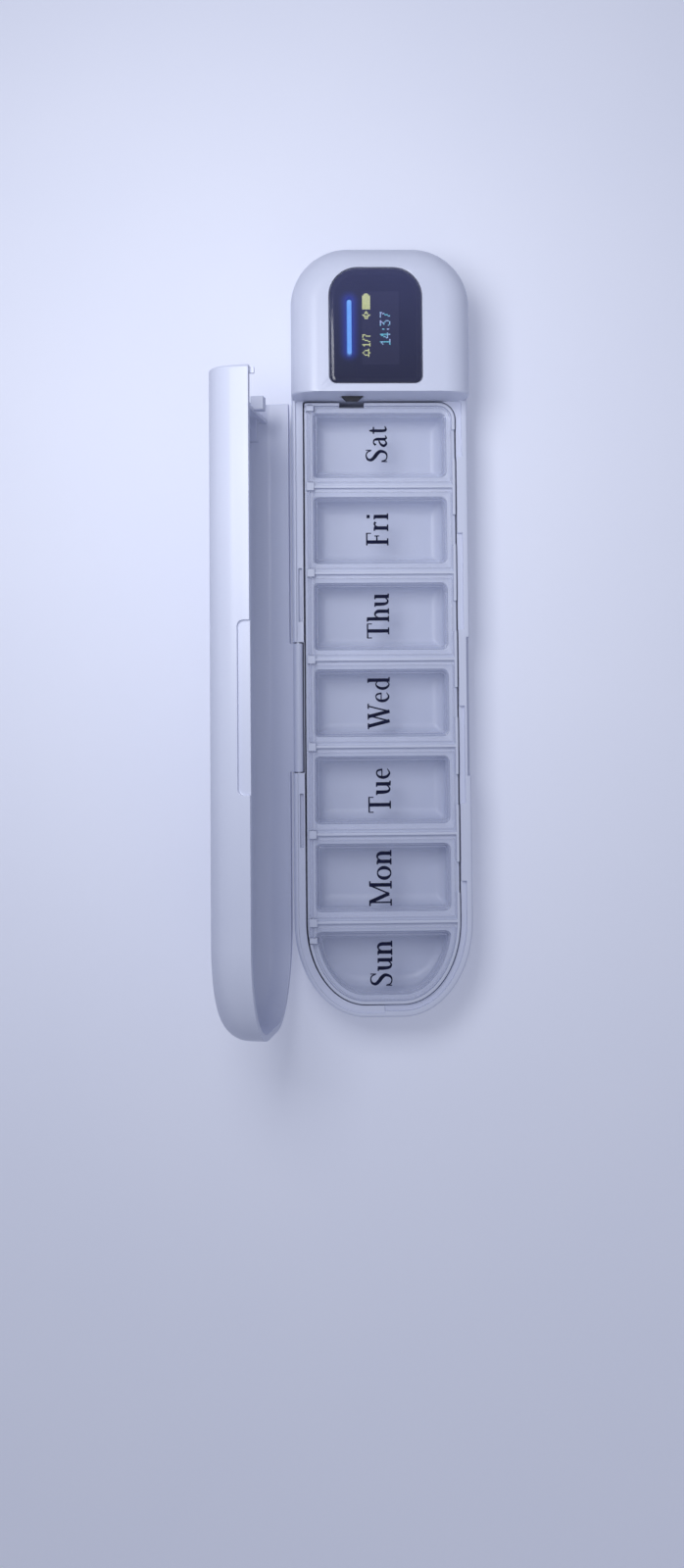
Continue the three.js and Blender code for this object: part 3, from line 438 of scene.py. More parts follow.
# %% Join, cut and keep
def settle(body):
    """Turns the result of an object's modifiers into its plain mesh."""
    view = bpy.context.evaluated_depsgraph_get()
    view.update()
    mesh = bpy.data.meshes.new_from_object(body.evaluated_get(view))
    body.modifiers.clear()
    body.data = mesh


def work(operation, body, *tools):
    """Joins, cuts or intersects a body with each tool, and throws the tools away."""
    for tool in tools:
        step = body.modifiers.new("step", "BOOLEAN")
        step.operation = operation
        step.object = tool
        step.solver = "MANIFOLD"
    settle(body)
    for tool in tools:
        bpy.data.objects.remove(tool)
    return body


join, cut, keep = (partial(work, operation) for operation in ("UNION", "DIFFERENCE", "INTERSECT"))
print("solids can be joined, cut and kept")

# %% [markdown]
# A moulded edge is never sharp. A bevel rounds every sharp edge of a solid by a small width.
# Where two edges nearly meet, it throws points off the solid and folds small faces over, so
# both are put right afterwards.

# %% Rounded edges
def unfold(body, reach, tries=8):
    """Closes up small faces that a rounding folded over. The shortest edge of each is pinched
    to a point, where that leaves the solid closed."""
    shape = bmesh.new()
    shape.from_mesh(body.data)
    for _ in range(tries):
        pinched, touched = [], set()
        for fold in shape.edges:
            if fold.calc_face_angle(0) < math.radians(150):
                continue
            small = min(fold.link_faces, key=lambda face: face.calc_area())
            edge = min(small.edges, key=lambda side: side.calc_length())
            one, two = ({side.other_vert(end) for side in end.link_edges} for end in edge.verts)
            triangles = sum(len(face.verts) == 3 for face in edge.link_faces)
            closed = len(one & two) == triangles
            if edge.calc_length() < reach and closed and not touched & (one | two):
                pinched.append(edge)
                touched |= one | two
        if not pinched:
            break
        bmesh.ops.collapse(shape, edges=pinched)
    shape.to_mesh(body.data)
    shape.free()


def soften(body, width, angle=40, segments=2, spared=None):
    """Rounds a solid's sharp edges by a small width. Flat neighbours are merged first, but not
    beyond the X where a face with round holes is spared."""
    shape = bmesh.new()
    shape.from_mesh(body.data)
    bmesh.ops.remove_doubles(shape, verts=shape.verts, dist=0.02)
    merged = [edge for edge in shape.edges
              if spared is None or min(end.co.x for end in edge.verts) < spared]
    bmesh.ops.dissolve_limit(shape, angle_limit=math.radians(0.5), verts=[], edges=merged)
    bmesh.ops.triangulate(shape, faces=[face for face in shape.faces if len(face.verts) > 4])
    surface = BVHTree.FromBMesh(shape)
    shape.to_mesh(body.data)
    shape.free()
    edge = body.modifiers.new("edge", "BEVEL")
    edge.width = width
    edge.segments = segments
    edge.limit_method = "ANGLE"
    edge.angle_limit = math.radians(angle)
    edge.use_clamp_overlap = edge.loop_slide = False
    settle(body)
    for point in body.data.vertices:
        nearest, normal, face, distance = surface.find_nearest(point.co)
        if distance > 0.45 * width:
            point.co = nearest
    unfold(body, 1.2 * width)
    return body


def finish_piece(piece, name, body, material, replaced=(), smooth=38):
    """Brings a piece down to metres, paints it, hides the CAD nodes it replaces and hangs it on its
    body's empty.
    """
    piece.name = piece.data.name = name
    piece.data.transform(Matrix.Scale(MM, 4))
    piece.data.materials.clear()
    piece.data.materials.append(material)
    piece.data.shade_smooth()
    piece.data.set_sharp_from_angle(angle=math.radians(smooth))
    even = piece.modifiers.new("even", "WEIGHTED_NORMAL")
    even.keep_sharp = True
    settle(piece)
    if replaced:
        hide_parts(*replaced)
    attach(piece, body)
    print(name, "faces:", len(piece.data.polygons))


print("edges can be rounded and pieces finished")

# %% [markdown]
# The base is a tub with a rolled bottom edge. Its rim is stepped: a low ledge runs along the
# hinge side, and a groove along the front leaves three tabs standing, which show as the
# broken seam beside the lids. It is cut from one smooth solid in the order a toolmaker
# would machine it, so that every wall and step keeps its true thickness.

# %% Base shell
rim_width, rim_depth = 3.4, 4.5
back_strip, front_strip = 1.2, 1.8
ledge_depth, rabbet_depth = 0.8, 1.5
tab_length, tab_shift = 23.0, 2.6
day_count = 7
tray_corner, tray_gap = 5.0, 0.4
day_pitch = (joint_x - tail_end - 2) / day_count
hinge_ends = span(cover_middle, 39.0)
axis_y, axis_z = half_width - 1.5, parting - 2.2
barrel_radius, notch_drop = 1.4, 2.3
slot_place, slot_size = 33.7, (16.0, 1.0, 1.6)
finger_corner, finger_length, finger_drop, finger_wall = 1.6, 41.5, 4.2, 1.1
whole_width = (-half_width, half_width)
bay_plan = partial(body_plan, square_head=joint_x)
head_plan = partial(body_plan, square_tail=head_inside)


def scoop(length, low, high, inner, outer):
    """A fingertip recess: a block along X whose far corners are rounded."""
    ends = span(cover_middle, length)
    side = 1 if high > low else -1
    arc = [(finger_corner * (1 - math.sin(a)), finger_corner * (1 - math.cos(a)))
           for a in quarter_turn(6)]
    profile = [(ends[1], low)]
    profile += [(ends[1] - rise, high - side * run) for run, rise in arc]
    profile += [(ends[0] + run, high - side * rise) for run, rise in arc]
    profile += [(ends[0], low)]
    count = len(profile)
    corners = [(x, y, z) for y in (inner, outer) for x, z in profile]
    faces = [tuple(range(count)), tuple(reversed(range(count, 2 * count)))]
    faces += [(i, (i + 1) % count, (i + 1) % count + count, i + count) for i in range(count)]
    return solid("scoop", corners, faces)


def stadium(width, height):
    """The plan of a slot with round ends, for a loft along X."""
    corner = (height / 2 - 0.01, height / 2 - 0.01)
    return plan(span(0, height), span(0, width), corner, corner, steps=10)


def rim_tool(strip, depth, side):
    """The ring cut down into the rim, on the hinge side (1) or the front (-1)."""
    band = prism(bay_plan(strip), parting - depth, parting + overrun)
    half = (0, half_width) if side > 0 else (-half_width, 0)
    return keep(band, block((tail_end, joint_x), half, (0, crown_top)))


base = loft("base", round_rings(body_plan, 0, 0, bottom_round, -1)
            + round_rings(body_plan, 0, parting, rim_round, 1, 4))
bay = loft("bay", round_rings(bay_plan, wall, wall, bottom_round - wall, -1)
           + [(bay_plan(wall), parting - rim_depth)])
mouth = prism(body_plan(rim_width, None, joint_x, tray_corner + tray_gap),
              parting - rim_depth - overrun, parting + overrun)
head_room = loft("head_room", round_rings(head_plan, wall, wall, bottom_round - wall, -1)
                 + [(head_plan(wall), parting + overrun)])
tabs = [block(span(joint_x - divider * day_pitch - tab_shift, tab_length),
              (-half_width, 0), (0, crown_top)) for divider in range(1, day_count, 2)]
rabbet = cut(rim_tool(front_strip, rabbet_depth, -1), *tabs)
slot_y = span(half_width - (back_strip + rim_width) / 2, slot_size[1])
slots = [block(span(cover_middle + side * slot_place, slot_size[0]), slot_y,
               (parting - ledge_depth - slot_size[2], crown_top)) for side in (-1, 1)]
hinge_notch = block(hinge_ends, (axis_y - barrel_radius - clearance, half_width + overrun),
                    (axis_z - notch_drop, crown_top))
finger = scoop(finger_length, parting + overrun, parting - finger_drop,
               finger_wall - half_width, -half_width - overrun)
cut(base, bay, mouth, head_room, rim_tool(back_strip, ledge_depth, 1), rabbet, *slots,
    hinge_notch, finger)
print("base shell walls:", len(base.data.polygons), "faces")

# %% Bosses, port and holes of the base
case_posts = [(joint_x + 6, 20), (joint_x + 6, -20), (head_end - 6.2, 15.5), (head_end - 6.2, -15.5)]
post_radius, post_top, screw_hole, screw_recess = 2.8, 16, 1.4, (2.5, 2.4)
rib_width, rib_top = 1.2, wall + 0.9
pin_hole, pin_reach = 0.9, 6.0
port_shift, port_z, port_size = 6.5, 14.9, (9.6, 3.8)
button_radius = 2.6
sound_hole, sound_places = 0.6, (-1.7, 0, 1.7)
edge_width = 0.16


def pin_holes():
    """Rods that cut the two hinge pins' holes."""
    return [rod_x(pin_hole, span(x, 2 * (pin_reach + clearance)), axis_y, axis_z, 20)
            for x in hinge_ends]


ribs = [tail_end + i * (cover_head - tail_end) / 5 for i in range(1, 5)]
rib_reach = span(0, 2 * (half_width - bottom_round - wall))
join(base, *(block(span(x, rib_width), rib_reach, (wall / 2, rib_top)) for x in ribs),
     *(rod_z(post_radius, (wall / 2, post_top), *post) for post in case_posts))
end_wall = (head_end - wall - overrun, head_end + overrun)
cut(base, *(rod_z(screw_hole, (-overrun, parting), *post, 24) for post in case_posts),
    *(rod_z(screw_recess[0], (-overrun, screw_recess[1]), *post) for post in case_posts),
    *pin_holes(),
    along_x([(stadium(*port_size), place) for place in end_wall], -port_shift, port_z),
    rod_x(button_radius + clearance, end_wall, port_shift, port_z),
    *(rod_x(sound_hole, end_wall, y, port_z, 20) for y in sound_places))
soften(base, edge_width, spared=head_end - 0.1)
finish_piece(base, "base_body", "base", white_plastic, ["base_shell"])

# %% [markdown]
# The head's crown is the same plan lofted up to a flat top, with an 8 mm round all round.
# The window sits in a stepped opening that is round towards the head and square towards
# the lids.

# %% Head cover
window_low, window_high = box_mm("display_window")
window_tail_corner, window_head_corner = 2.0, 8.3
window_ledge = 1.5
nose_low, nose_high = box_mm("sensor_nose")
nose_middle = (nose_low.y + nose_high.y) / 2
nose_opening = span(nose_middle, 6.8)


def window_plan(margin):
    tail = max(window_tail_corner - margin, 0.5)
    head = window_head_corner - margin
    return plan((window_low.x + margin, window_high.x - margin),
                (window_low.y + margin, window_high.y - margin), (tail, tail), (head, head))


def shell(shape_at):
    """A solid from the cover's rim up to a flat top with a round edge."""
    return loft("shell", [(shape_at(0), cover_rim)]
                + round_rings(shape_at, 0, crown_top, crown_round, 1, 14))


def shell_inside(shape_at, steps=7):
    """The hollow of such a shell."""
    return loft("inside", [(shape_at(wall), cover_rim - overrun)]
                + round_rings(shape_at, wall, plate_underside, crown_round - wall, 1, steps))


crown_plan = partial(body_plan, square_tail=joint_x)
head = cut(shell(crown_plan), shell_inside(head_plan),
           prism(window_plan(-clearance), window_low.z - clearance, crown_top + overrun),
           prism(window_plan(window_ledge), plate_underside - overrun, crown_top),
           block((joint_x - overrun, head_inside + overrun), nose_opening,
                 (nose_low.z - clearance, nose_high.z + clearance)))
soften(head, edge_width)
finish_piece(head, "crown", "base", white_plastic, ["head_cover"])

# %% [markdown]
# The cover is a long shallow shell, moulded as if it lay closed and then swung open about
# its hinge. Inside it has a thin raised bead round its flat, an end rib with two gussets, a
# striker that faces the nose, a lock tab and, at the hinge, a tongue that ends in a barrel.

# %% Cover
cover_turn = next(j for j in frame["joints"] if j["name"] == "cover_hinge")["range_deg"][0]
end_rib, end_rib_width, end_rib_clear = 4.6, 1.2, 6.5
gusset_length, gusset_width, gusset_drop, gusset_spacing = 7.5, 0.8, 3.2, 1.9
striker_width = 3.4
bead_place, bead_width, bead_depth = 9.6, 0.9, 0.7
bead_gap, bead_middle_gap = 1.6, 14.0
tab_reach, tab_width, tab_drop = 1.8, 0.8, 1.1
cover_finger_length, cover_finger_rise, cover_finger_depth = 46.5, 3.4, 1.0
cover_plan = partial(body_plan, square_head=cover_head)
cover_inside = partial(body_plan, square_head=cover_head + overrun)
cover = cut(shell(cover_plan), shell_inside(cover_inside, 12))
rib_head = cover_head - end_rib
rib_tail = rib_head - end_rib_width
rib_middle = rib_head - end_rib_width / 2
rib_bottom = cover_rim + end_rib_clear
rib_plate = keep(shell(cover_plan), block((rib_tail, rib_head), whole_width, (rib_bottom, crown_top)))
striker = block((rib_middle, nose_low.x - clearance), span(nose_middle, striker_width),
                (nose_low.z, rib_bottom + wall / 2))
gusset_backs = [half_width - crown_round - index * gusset_spacing for index in (0, 1)]
gussets = [block((rib_middle - gusset_length, rib_middle), (y - gusset_width, y),
                 (plate_underside - gusset_drop, plate_underside + wall / 2)) for y in gusset_backs]


def bead_plan(margin):
    return body_plan(bead_place + margin, square_head=rib_tail - gusset_length)


bead_bottom = plate_underside - bead_depth
bead = cut(prism(bead_plan(0), bead_bottom, plate_underside + wall / 2),
           prism(bead_plan(bead_width), bead_bottom - overrun, crown_top))
breaks = [(joint_x - divider * day_pitch, bead_gap) for divider in (1, 3, 5)]
cut(bead, *(block(span(x, gap), whole_width, (bead_bottom - overrun, crown_top))
            for x, gap in [*breaks, (cover_middle, bead_middle_gap)]))
join(cover, rib_plate, striker, *gussets, bead)
cut(cover, scoop(cover_finger_length, cover_rim - overrun, cover_rim + cover_finger_rise,
                 -half_width - overrun, cover_finger_depth - half_width))
tab_front = front_strip + clearance - half_width
tab_back = tab_front + tab_width
tab_ends = (cover_head - tab_reach - clearance, cover_head - clearance)
tongue = (hinge_ends[0] + clearance, hinge_ends[1] - clearance)
join(cover,
     block(tab_ends, (tab_front, tab_back), (cover_rim - tab_drop, cover_rim + wall)),
     block(tab_ends, (wall / 2 - half_width, tab_back), (cover_rim, cover_rim + wall)),
     block(tongue, (half_width - wall, half_width), (axis_z, cover_rim + wall)),
     rod_x(barrel_radius, tongue, axis_y, axis_z))
cut(cover, *pin_holes())
soften(cover, edge_width)
about_hinge = Matrix.Translation((0, axis_y, axis_z))
swing = Matrix.Rotation(math.radians(cover_turn), 4, "X")
cover.data.transform(about_hinge @ swing @ about_hinge.inverted())
finish_piece(cover, "cover_body", "cover", white_plastic, ["cover_shell"])

# %% [markdown]
# The tray has seven round-bottomed compartments under one flange. The flange is sunk, so
# that the day lids lie flush inside a thin lip, and a low ridge stands between neighbours.
# Small ears beside the ridges hold the lids' pins.

# %% Tray sizes
flange_inset = rim_width + tray_gap
flange_width, draft = 1.0, 0.6
lip_width = 0.9
recess_inset = flange_inset + lip_width
flange_top = parting - clearance
recess_floor = flange_top - 1.5
flange_underside = flange_top - 2.6
flange_overlap = 1.3
tray_end = tray_high.x
recess_end = tray_end - lip_width
lid_thickness, lid_gap = 1.4, 0.5
lid_underside = recess_floor + clearance
lid_top = lid_underside + lid_thickness
lid_axis = half_width - 5.5, lid_underside + 1.0
lid_barrel, lid_pin, lid_pin_reach = 1.0, 0.5, 0.9
last_barrel_length = 2.6
ear_width, end_ear_width, ear_depth, ear_hole = 2.4, 1.7, 2.3, 0.8
ridge_width = 0.8
day_gap = 3.0
pocket_end_wall, pocket_front_wall, pocket_back_wall = 1.4, 1.6, 0.5
pocket_corner, pocket_round, pocket_floor, pocket_draft = 2.0, 3.5, 1.2, 0.6
notch_width = 9.0
nose_notch = (0.6, 7.4)


def tray_plan(margin, head=tray_end):
    corner = max(tray_corner + flange_inset - margin, square_corner)
    return body_plan(margin, None, head, corner)


def day_range(day):
    """The tail and head X of a day's lid, counted from the head."""
    lid_head = joint_x - day * day_pitch - day_gap / 2
    return (max(lid_head + day_gap - day_pitch, tail_end + recess_inset + lid_gap),
            min(lid_head, recess_end - lid_gap))


def barrel_range(day):
    """The tail and head X of a day's hinge barrel, shorter at both ends of the row."""
    lid_tail, lid_head = day_range(day)
    if day == 0:
        lid_head = recess_end - end_ear_width - clearance
    return (lid_head - last_barrel_length if day == day_count - 1 else lid_tail, lid_head)


ridges = [joint_x - divider * day_pitch for divider in range(1, day_count)]
ears = [span(ridge, ear_width) for ridge in ridges]
first_ear, last_ear = barrel_range(0)[1] + clearance, barrel_range(day_count - 1)[0] - clearance
ears += [(first_ear, first_ear + end_ear_width), (last_ear - end_ear_width, last_ear)]
print("day pitch, mm:", round(day_pitch, 2), "ears:", len(ears))


# %% Tray
def mouth_plan(day, margin):
    """The mouth of one compartment drawn in by a margin. The last has the tail's corners."""
    lid_tail, lid_head = day_range(day)
    inset = recess_inset + pocket_front_wall
    last = day == day_count - 1
    tail = tail_end + inset if last else lid_tail + pocket_end_wall
    head = lid_head - pocket_end_wall
    small = (max(pocket_corner - margin, square_corner),) * 2
    length = min(tail_corner[0] - inset, head - tail - pocket_corner - pocket_round)
    return plan((tail + margin, head - margin),
                (inset + margin - half_width, lid_axis[0] - pocket_back_wall - margin),
                (length - margin, tail_corner[1] - inset - margin) if last else small, small)


def mouth_slab(day, margin, bottom, top):
    """A slab of a compartment's mouth, kept inside the tray's round tail."""
    bound = tray_plan(recess_inset + pocket_front_wall + margin)
    return keep(prism(mouth_plan(day, margin), bottom, top), prism(bound, bottom, top))


def pocket(day):
    """The hollow of one compartment, with a rounded floor."""
    top = recess_floor + clearance
    rings = round_rings(partial(mouth_plan, day), pocket_draft, tray_low.z + pocket_floor,
                        pocket_round, -1, 10)
    hollow = loft("pocket", rings + [(mouth_plan(day, 0), top)])
    return keep(hollow, mouth_slab(day, 0, tray_low.z, top))


foot_inset = flange_inset + flange_width
above = flange_top + overrun
tray = loft("tray", [(tray_plan(foot_inset + draft), tray_low.z),
                     (tray_plan(foot_inset), flange_underside + flange_overlap)])
join(tray, prism(tray_plan(flange_inset), flange_underside, flange_top))
cut(tray, prism(tray_plan(recess_inset, recess_end), recess_floor, above),
    block((last_ear - end_ear_width - clearance, recess_end), (lid_axis[0], half_width),
          (recess_floor, above)))
join(tray,
     *(block(span(ridge, ridge_width), (recess_inset - lip_width / 2 - half_width, lid_axis[0]),
             (recess_floor - lip_width, flange_top)) for ridge in ridges),
     *(block(ear, span(lid_axis[0], ear_depth), (recess_floor - lip_width, lid_axis[1] + lid_barrel))
       for ear in ears))
notches = [block(span(sum(day_range(day)) / 2, notch_width),
                 (flange_inset - overrun - half_width, recess_inset + overrun - half_width),
                 (recess_floor, above)) for day in range(day_count - 1)]
cut(tray, *notches, *(pocket(day) for day in range(day_count)),
    *(rod_x(ear_hole, (start - clearance, end + clearance), *lid_axis, 20) for start, end in ears),
    block((nose_low.x - nose_notch[0], tray_end + overrun), span(nose_middle, nose_notch[1]),
          (tray_low.z - overrun, above)))
soften(tray, edge_width)
finish_piece(tray, "compartment_tray", "tray", inner_plastic, ["pill_tray"])

# %% [markdown]
# Each day has a clear lid: a plate, a thin frame under it that drops into the compartment's
# mouth, and a hinge barrel with a pin at both ends. A clear moulding is brightest at its
# edges, where light that runs inside the plate comes out. That light is painted on as a
# painted highlight: a paler, less clear colour on the lid's sides and rounded edges.

# %% Day lids
lid_frame_gap, lid_frame_width, lid_frame_drop = 0.4, 0.7, 1.0
fine_edge = 0.12


def day_lid(day):
    lid_tail, lid_head = day_range(day)
    barrel = barrel_range(day)
    edge = tray_plan(recess_inset + lid_gap, recess_end - lid_gap)
    lid = keep(prism(edge, lid_underside, lid_top),
               block((lid_tail, lid_head), (-half_width, lid_axis[0]),
                     (lid_underside - overrun, lid_top + overrun)))
    frame_bottom = lid_underside - lid_frame_drop
    ring = cut(mouth_slab(day, lid_frame_gap, frame_bottom, lid_underside + lid_thickness / 2),
               mouth_slab(day, lid_frame_gap + lid_frame_width, frame_bottom - overrun, lid_underside))
    join(lid, ring, rod_x(lid_barrel, barrel, *lid_axis))
    room = span(lid_axis[0], ear_depth + 4 * clearance)
    cut(lid, *(block((start - clearance, end + clearance), room, (lid_underside - overrun, crown_top))
               for start, end in ears if start < lid_head and end > lid_tail))
    reach = clearance + lid_pin_reach
    join(lid, rod_x(lid_pin, (barrel[0] - reach, barrel[1] + reach), *lid_axis, 20))
    return soften(lid, fine_edge)


print("day lids can be drawn")


# %% Clear plastic
def mark_rim(piece):
    """Marks the faces of a lid that are its sides and rounded edges, where the highlight is painted."""
    rim = piece.data.attributes.new("rim", "FLOAT", "FACE")
    for face in piece.data.polygons:
        rim.data[face.index].value = float(abs(face.normal.z) < 0.97)
    return piece


clear = Finish("clear_plastic", IOR=1.5)
rim_highlight = clear.node("ShaderNodeAttribute", output="Fac", attribute_name="rim")
haze = clear.noise(7)
# Painted highlight: the sides and rounded edges get a paler colour and more alpha than the flat faces.
clear.dress(rim_highlight, "c9d0ea", "e4e8fa", 0.05 + haze * 0.08, clear.noise(18, 2), 0.02,
            Alpha=0.04 + haze * 0.03 + rim_highlight * 0.30)
for day in range(day_count):
    number = day_count - day
    finish_piece(mark_rim(day_lid(day)), f"clear_lid_{number}", f"lid_{number}",
                 clear.material, [f"day_lid_{number}"])

# %% [markdown]
# The window is a smoked panel with a polished slope round its face. It lets a little light
# through, so the lit screen and the status bar under it show, and the bar's light spreads
# inside the panel as a deep blue glow. The glow is worked out from how far a place lies from
# the bar, much as a long lamp behind smoked plastic would look.

# %% Display window
window_slope, window_slope_drop = 1.1, 0.25
bar_low, bar_high = box_mm("light_bar")
bar_middle = (bar_low + bar_high) / 2
bar_end = 0.7
glow_start, glow_reach = 0.5, 3.6
window = loft("window", [(window_plan(0), window_low.z),
                         (window_plan(0), window_high.z - window_slope_drop),
                         (window_plan(window_slope), window_high.z)])
soften(window, fine_edge, 8)

smoked = Finish("smoked_window", IOR=1.5, Emission_Strength=1.0)
past_end = abs(smoked.axis("X") - bar_middle.x) - (bar_high.x - bar_low.x) / 2 + bar_end
along = past_end.math("MAXIMUM", 0)
across = abs(smoked.axis("Y") - bar_middle.y)
distance = (along * along + across * across).math("SQRT")
# Painted reflection: the smoked colour is painted lighter towards the head end.
head_reflection = smoked.axis("X").ramp(window_low.x, window_high.x) * 0.9
near = 1 - distance.ramp(glow_start, glow_reach)
smoked.dress(head_reflection + smoked.noise(9, 2) * 0.2, "1d2040", "3c406a",
             0.05 + smoked.noise(6, 4) * 0.07, smoked.noise(0.4, 2), 0.001,
             Emission_Color=smoked.mix(near * near, "000000", "1a2f96"),
             Alpha=0.34 + distance.ramp(glow_start, 1.1) * 0.4)
finish_piece(window, "smoked_window", "base", smoked.material, ["display_window"], 25)

# %% [markdown]
# The status bar is a milky light guide. It is brightest along its middle and a little paler
# at its ends, where its lamps sit.

# %% Status light bar
guide_plan = plan((bar_low.x, bar_high.x), (bar_low.y, bar_high.y), (0.65, 0.65), (0.65, 0.65), steps=8)
guide = soften(prism(guide_plan, bar_low.z, bar_high.z), fine_edge)
milky = Finish("light_guide", Emission_Strength=1.8)
guide_end = abs(milky.axis("X") - bar_middle.x).ramp(6.5, 8.2)
milky.wear(
    Base_Color=milky.mix(milky.noise(1.5), "9dbdf0", "b4cdf5"),
    Emission_Color=milky.mix(guide_end * 0.5 + milky.noise(3) * 0.3, "4f94cf", "7fb8dc"),
    Roughness=0.3 + milky.noise(1.2) * 0.2,
)
finish_piece(guide, "light_guide", "base", milky.material, ["light_bar"])

# %% [markdown]
# Geometry Nodes make what repeats. A tree is written as calls, like a finish: it makes one
# shape from its named sizes and puts a copy on every point that it is given. The copies are
# then made real and painted, and the result is kept as a plain mesh.

# %% Trees that repeat a shape
class Tree(Network):
    """A Geometry Nodes tree with named sizes, which repeats one shape on points."""

    def __init__(self, name, *sizes):
        super().__init__(bpy.data.node_groups.new(name, "GeometryNodeTree"))
        face = self.tree.interface
        face.new_socket("Points", in_out="INPUT", socket_type="NodeSocketGeometry")
        self.sockets = [
            face.new_socket(size, in_out="INPUT", socket_type="NodeSocketFloat").identifier
            for size in sizes
        ]
        face.new_socket("Shapes", in_out="OUTPUT", socket_type="NodeSocketGeometry")
        given = self.tree.nodes.new("NodeGroupInput").outputs
        self.points, *self.sizes = (Wire(self, given[index]) for index in range(len(sizes) + 1))

    def place(self, x=0.0, y=0.0, z=0.0):
        return self.node("ShaderNodeCombineXYZ", {"X": x, "Y": y, "Z": z})

    def cube(self, *size):
        return self.node("GeometryNodeMeshCube", {"Size": self.place(*size)})

    def moved(self, shape, **inputs):
        return self.node("GeometryNodeTransform", {"Geometry": shape, **inputs})

    def end(self, shape, material):
        """Puts the shape on every point, makes the copies real and paints them."""
        inputs = {"Points": self.points, "Instance": shape}
        copies = self.node("GeometryNodeInstanceOnPoints", inputs)
        real = self.node("GeometryNodeRealizeInstances", {"Geometry": copies})
        painted = self.node("GeometryNodeSetMaterial", {"Geometry": real, "Material": material})
        self.feed(self.tree.nodes.new("NodeGroupOutput").inputs[0], painted)
        return self

    def grow(self, name, points, *sizes):
        """Runs the tree on some points, in millimetres, and keeps the plain mesh."""
        piece = solid(name, points, [])
        step = piece.modifiers.new(name, "NODES")
        step.node_group = self.tree
        for socket, size in zip(self.sockets, sizes):
            step[socket] = float(size)
        settle(piece)
        print(name, "copies:", len(points))
        return piece


def repeat_cubes(name, slot, material, points, *size):
    """A piece of the base that has one cube of a size on every point."""
    tree = Tree(name, "Length", "Width", "Height")
    piece = tree.end(tree.cube(*tree.sizes), material).grow(name, points, *size)
    finish_piece(piece, name, "base", material)


print("shapes can be repeated")

# %% [markdown]
# The screen is a small two-colour panel: its first rows are yellow-green and the rest pale
# blue. Each sign is a pattern of dots, so Geometry Nodes puts one small square on every lit
# dot. The words of the patterns run along the object, from the tail towards the head.

# %% Screen panel
panel_high = box_mm("display_panel")[1]
lit_middle, lit_size = (89.2, 0.1), (21.74, 10.86)
screen = Finish("screen_glass", IOR=1.5, Emission_Strength=1.0)
lit_along, lit_across = (abs(screen.axis(letter) - middle) < size / 2
                         for letter, middle, size in zip("XY", lit_middle, lit_size))
inside_lit = lit_along * lit_across
screen.wear(
    Base_Color=screen.mix(inside_lit, "0b0c14", "1a1b2b"),
    Emission_Color=screen.mix(inside_lit, "000000", "5a5b78"),
    Roughness=0.12 + screen.noise(3) * 0.08,
)
frame["nodes"]["display_panel"].material_slots[0].material = screen.material
print("screen is painted")

# %% Dots of the signs
dot_pitch, dot_size = 0.34, (0.33, 0.33, 0.04)
signs = {
    "big 1": "..#.. .##.. #.#.. ..#.. ..#.. ..#.. ..#.. ..#.. #####",
    "big 4": "...#. ..##. ..##. .#.#. .#.#. #..#. ##### ...#. ...#.",
    "colon": "... ... .#. .#. ... ... .#. .#. ...",
    "big 3": "##### ...#. ..#.. .##.. ...#. ....# ....# #...# .###.",
    "big 7": "##### ....# ...#. ...#. ..#.. ..#.. ..#.. .#... .#...",
    "bell": "...#... ..#.#.. .#...#. .#...#. .#...#. ####### ...#...",
    "1": ".#. ##. .#. .#. .#. .#. ###",
    "stroke": "..# ..# .#. .#. .#. #.. #..",
    "7": "### ..# ..# .#. .#. .#. .#.",
    "speaker": "....#... ...##... .###.##. .#.#..## .###.##. ...##... ....#...",
    "battery": "############.. #############. ############## ############## ############## "
               "#############. ############..",
}
# A line of signs hangs down from a top edge in Y, and each of its signs starts at an X.
lines = {
    "clock_digits": (0.25, {"big 1": 84.2, "big 4": 86.1, "colon": 88.3, "big 3": 89.8, "big 7": 92.25}),
    "status_signs": (5.45, {"bell": 80.6, "1": 83.7, "stroke": 84.95, "7": 86.25, "speaker": 91.5,
                            "battery": 94.7}),
}


def lit_finish(name, first, second, strength):
    """A glowing dot colour that wavers a little from dot to dot."""
    finish = Finish(name, Roughness=0.5, Emission_Strength=strength)
    waver = finish.noise(2.2, 1)
    finish.wear(Emission_Color=finish.mix(waver.ramp(0.4, 0.6), first, second),
                Base_Color=finish.mix(waver, "20222c", "2a2c36"))
    return finish.material


lit_finishes = {"clock_digits": lit_finish("clock_blue", "b4c4f8", "6ccfe6", 10.0),
                "status_signs": lit_finish("status_green", "c9d094", "c4cc8a", 12.0)}
for line, (top, starts) in lines.items():
    dots = [(start + (column + 0.5) * dot_pitch, top - (row + 0.5) * dot_pitch, panel_high.z)
            for sign, start in starts.items()
            for row, marks in enumerate(signs[sign].split())
            for column, mark in enumerate(marks) if mark == "#"]
    repeat_cubes(line, "display_glass", lit_finishes[line], dots, *dot_size)

# %% [markdown]
# The day names are printed on the lids in a bookish letter with thick stems and thin
# serifs. A sign painter makes such letters from a few strokes of a broad pen, and so does
# this cell: a stroke is a line through a few places, with the pen's width at each, and a
# letter is the union of its strokes. The words read along the object, towards the head.

# %% Pen strokes
thick, thin = 0.95, 0.40
cap, small_height = 6.2, 4.05
rise, baseline = 1.07, -2.3
ink_range = span(lid_top, 0.06)


def smooth_line(stops, steps=7):
    """Places and widths on a smooth line through the stops, each (x, y, width)."""
    stops = [Vector(stop) for stop in stops]
    if len(stops) == 2:
        return stops
    padded = [2 * stops[0] - stops[1], *stops, 2 * stops[-1] - stops[-2]]
    line = [stops[0]]
    for a, b, c, d in zip(padded, padded[1:], padded[2:], padded[3:]):
        for step in range(1, steps + 1):
            t = step / steps
            line.append(0.5 * (2 * b + (c - a) * t + (2 * a - 5 * b + 4 * c - d) * t * t
                               + (3 * b - a - 3 * c + d) * t ** 3))
    return line


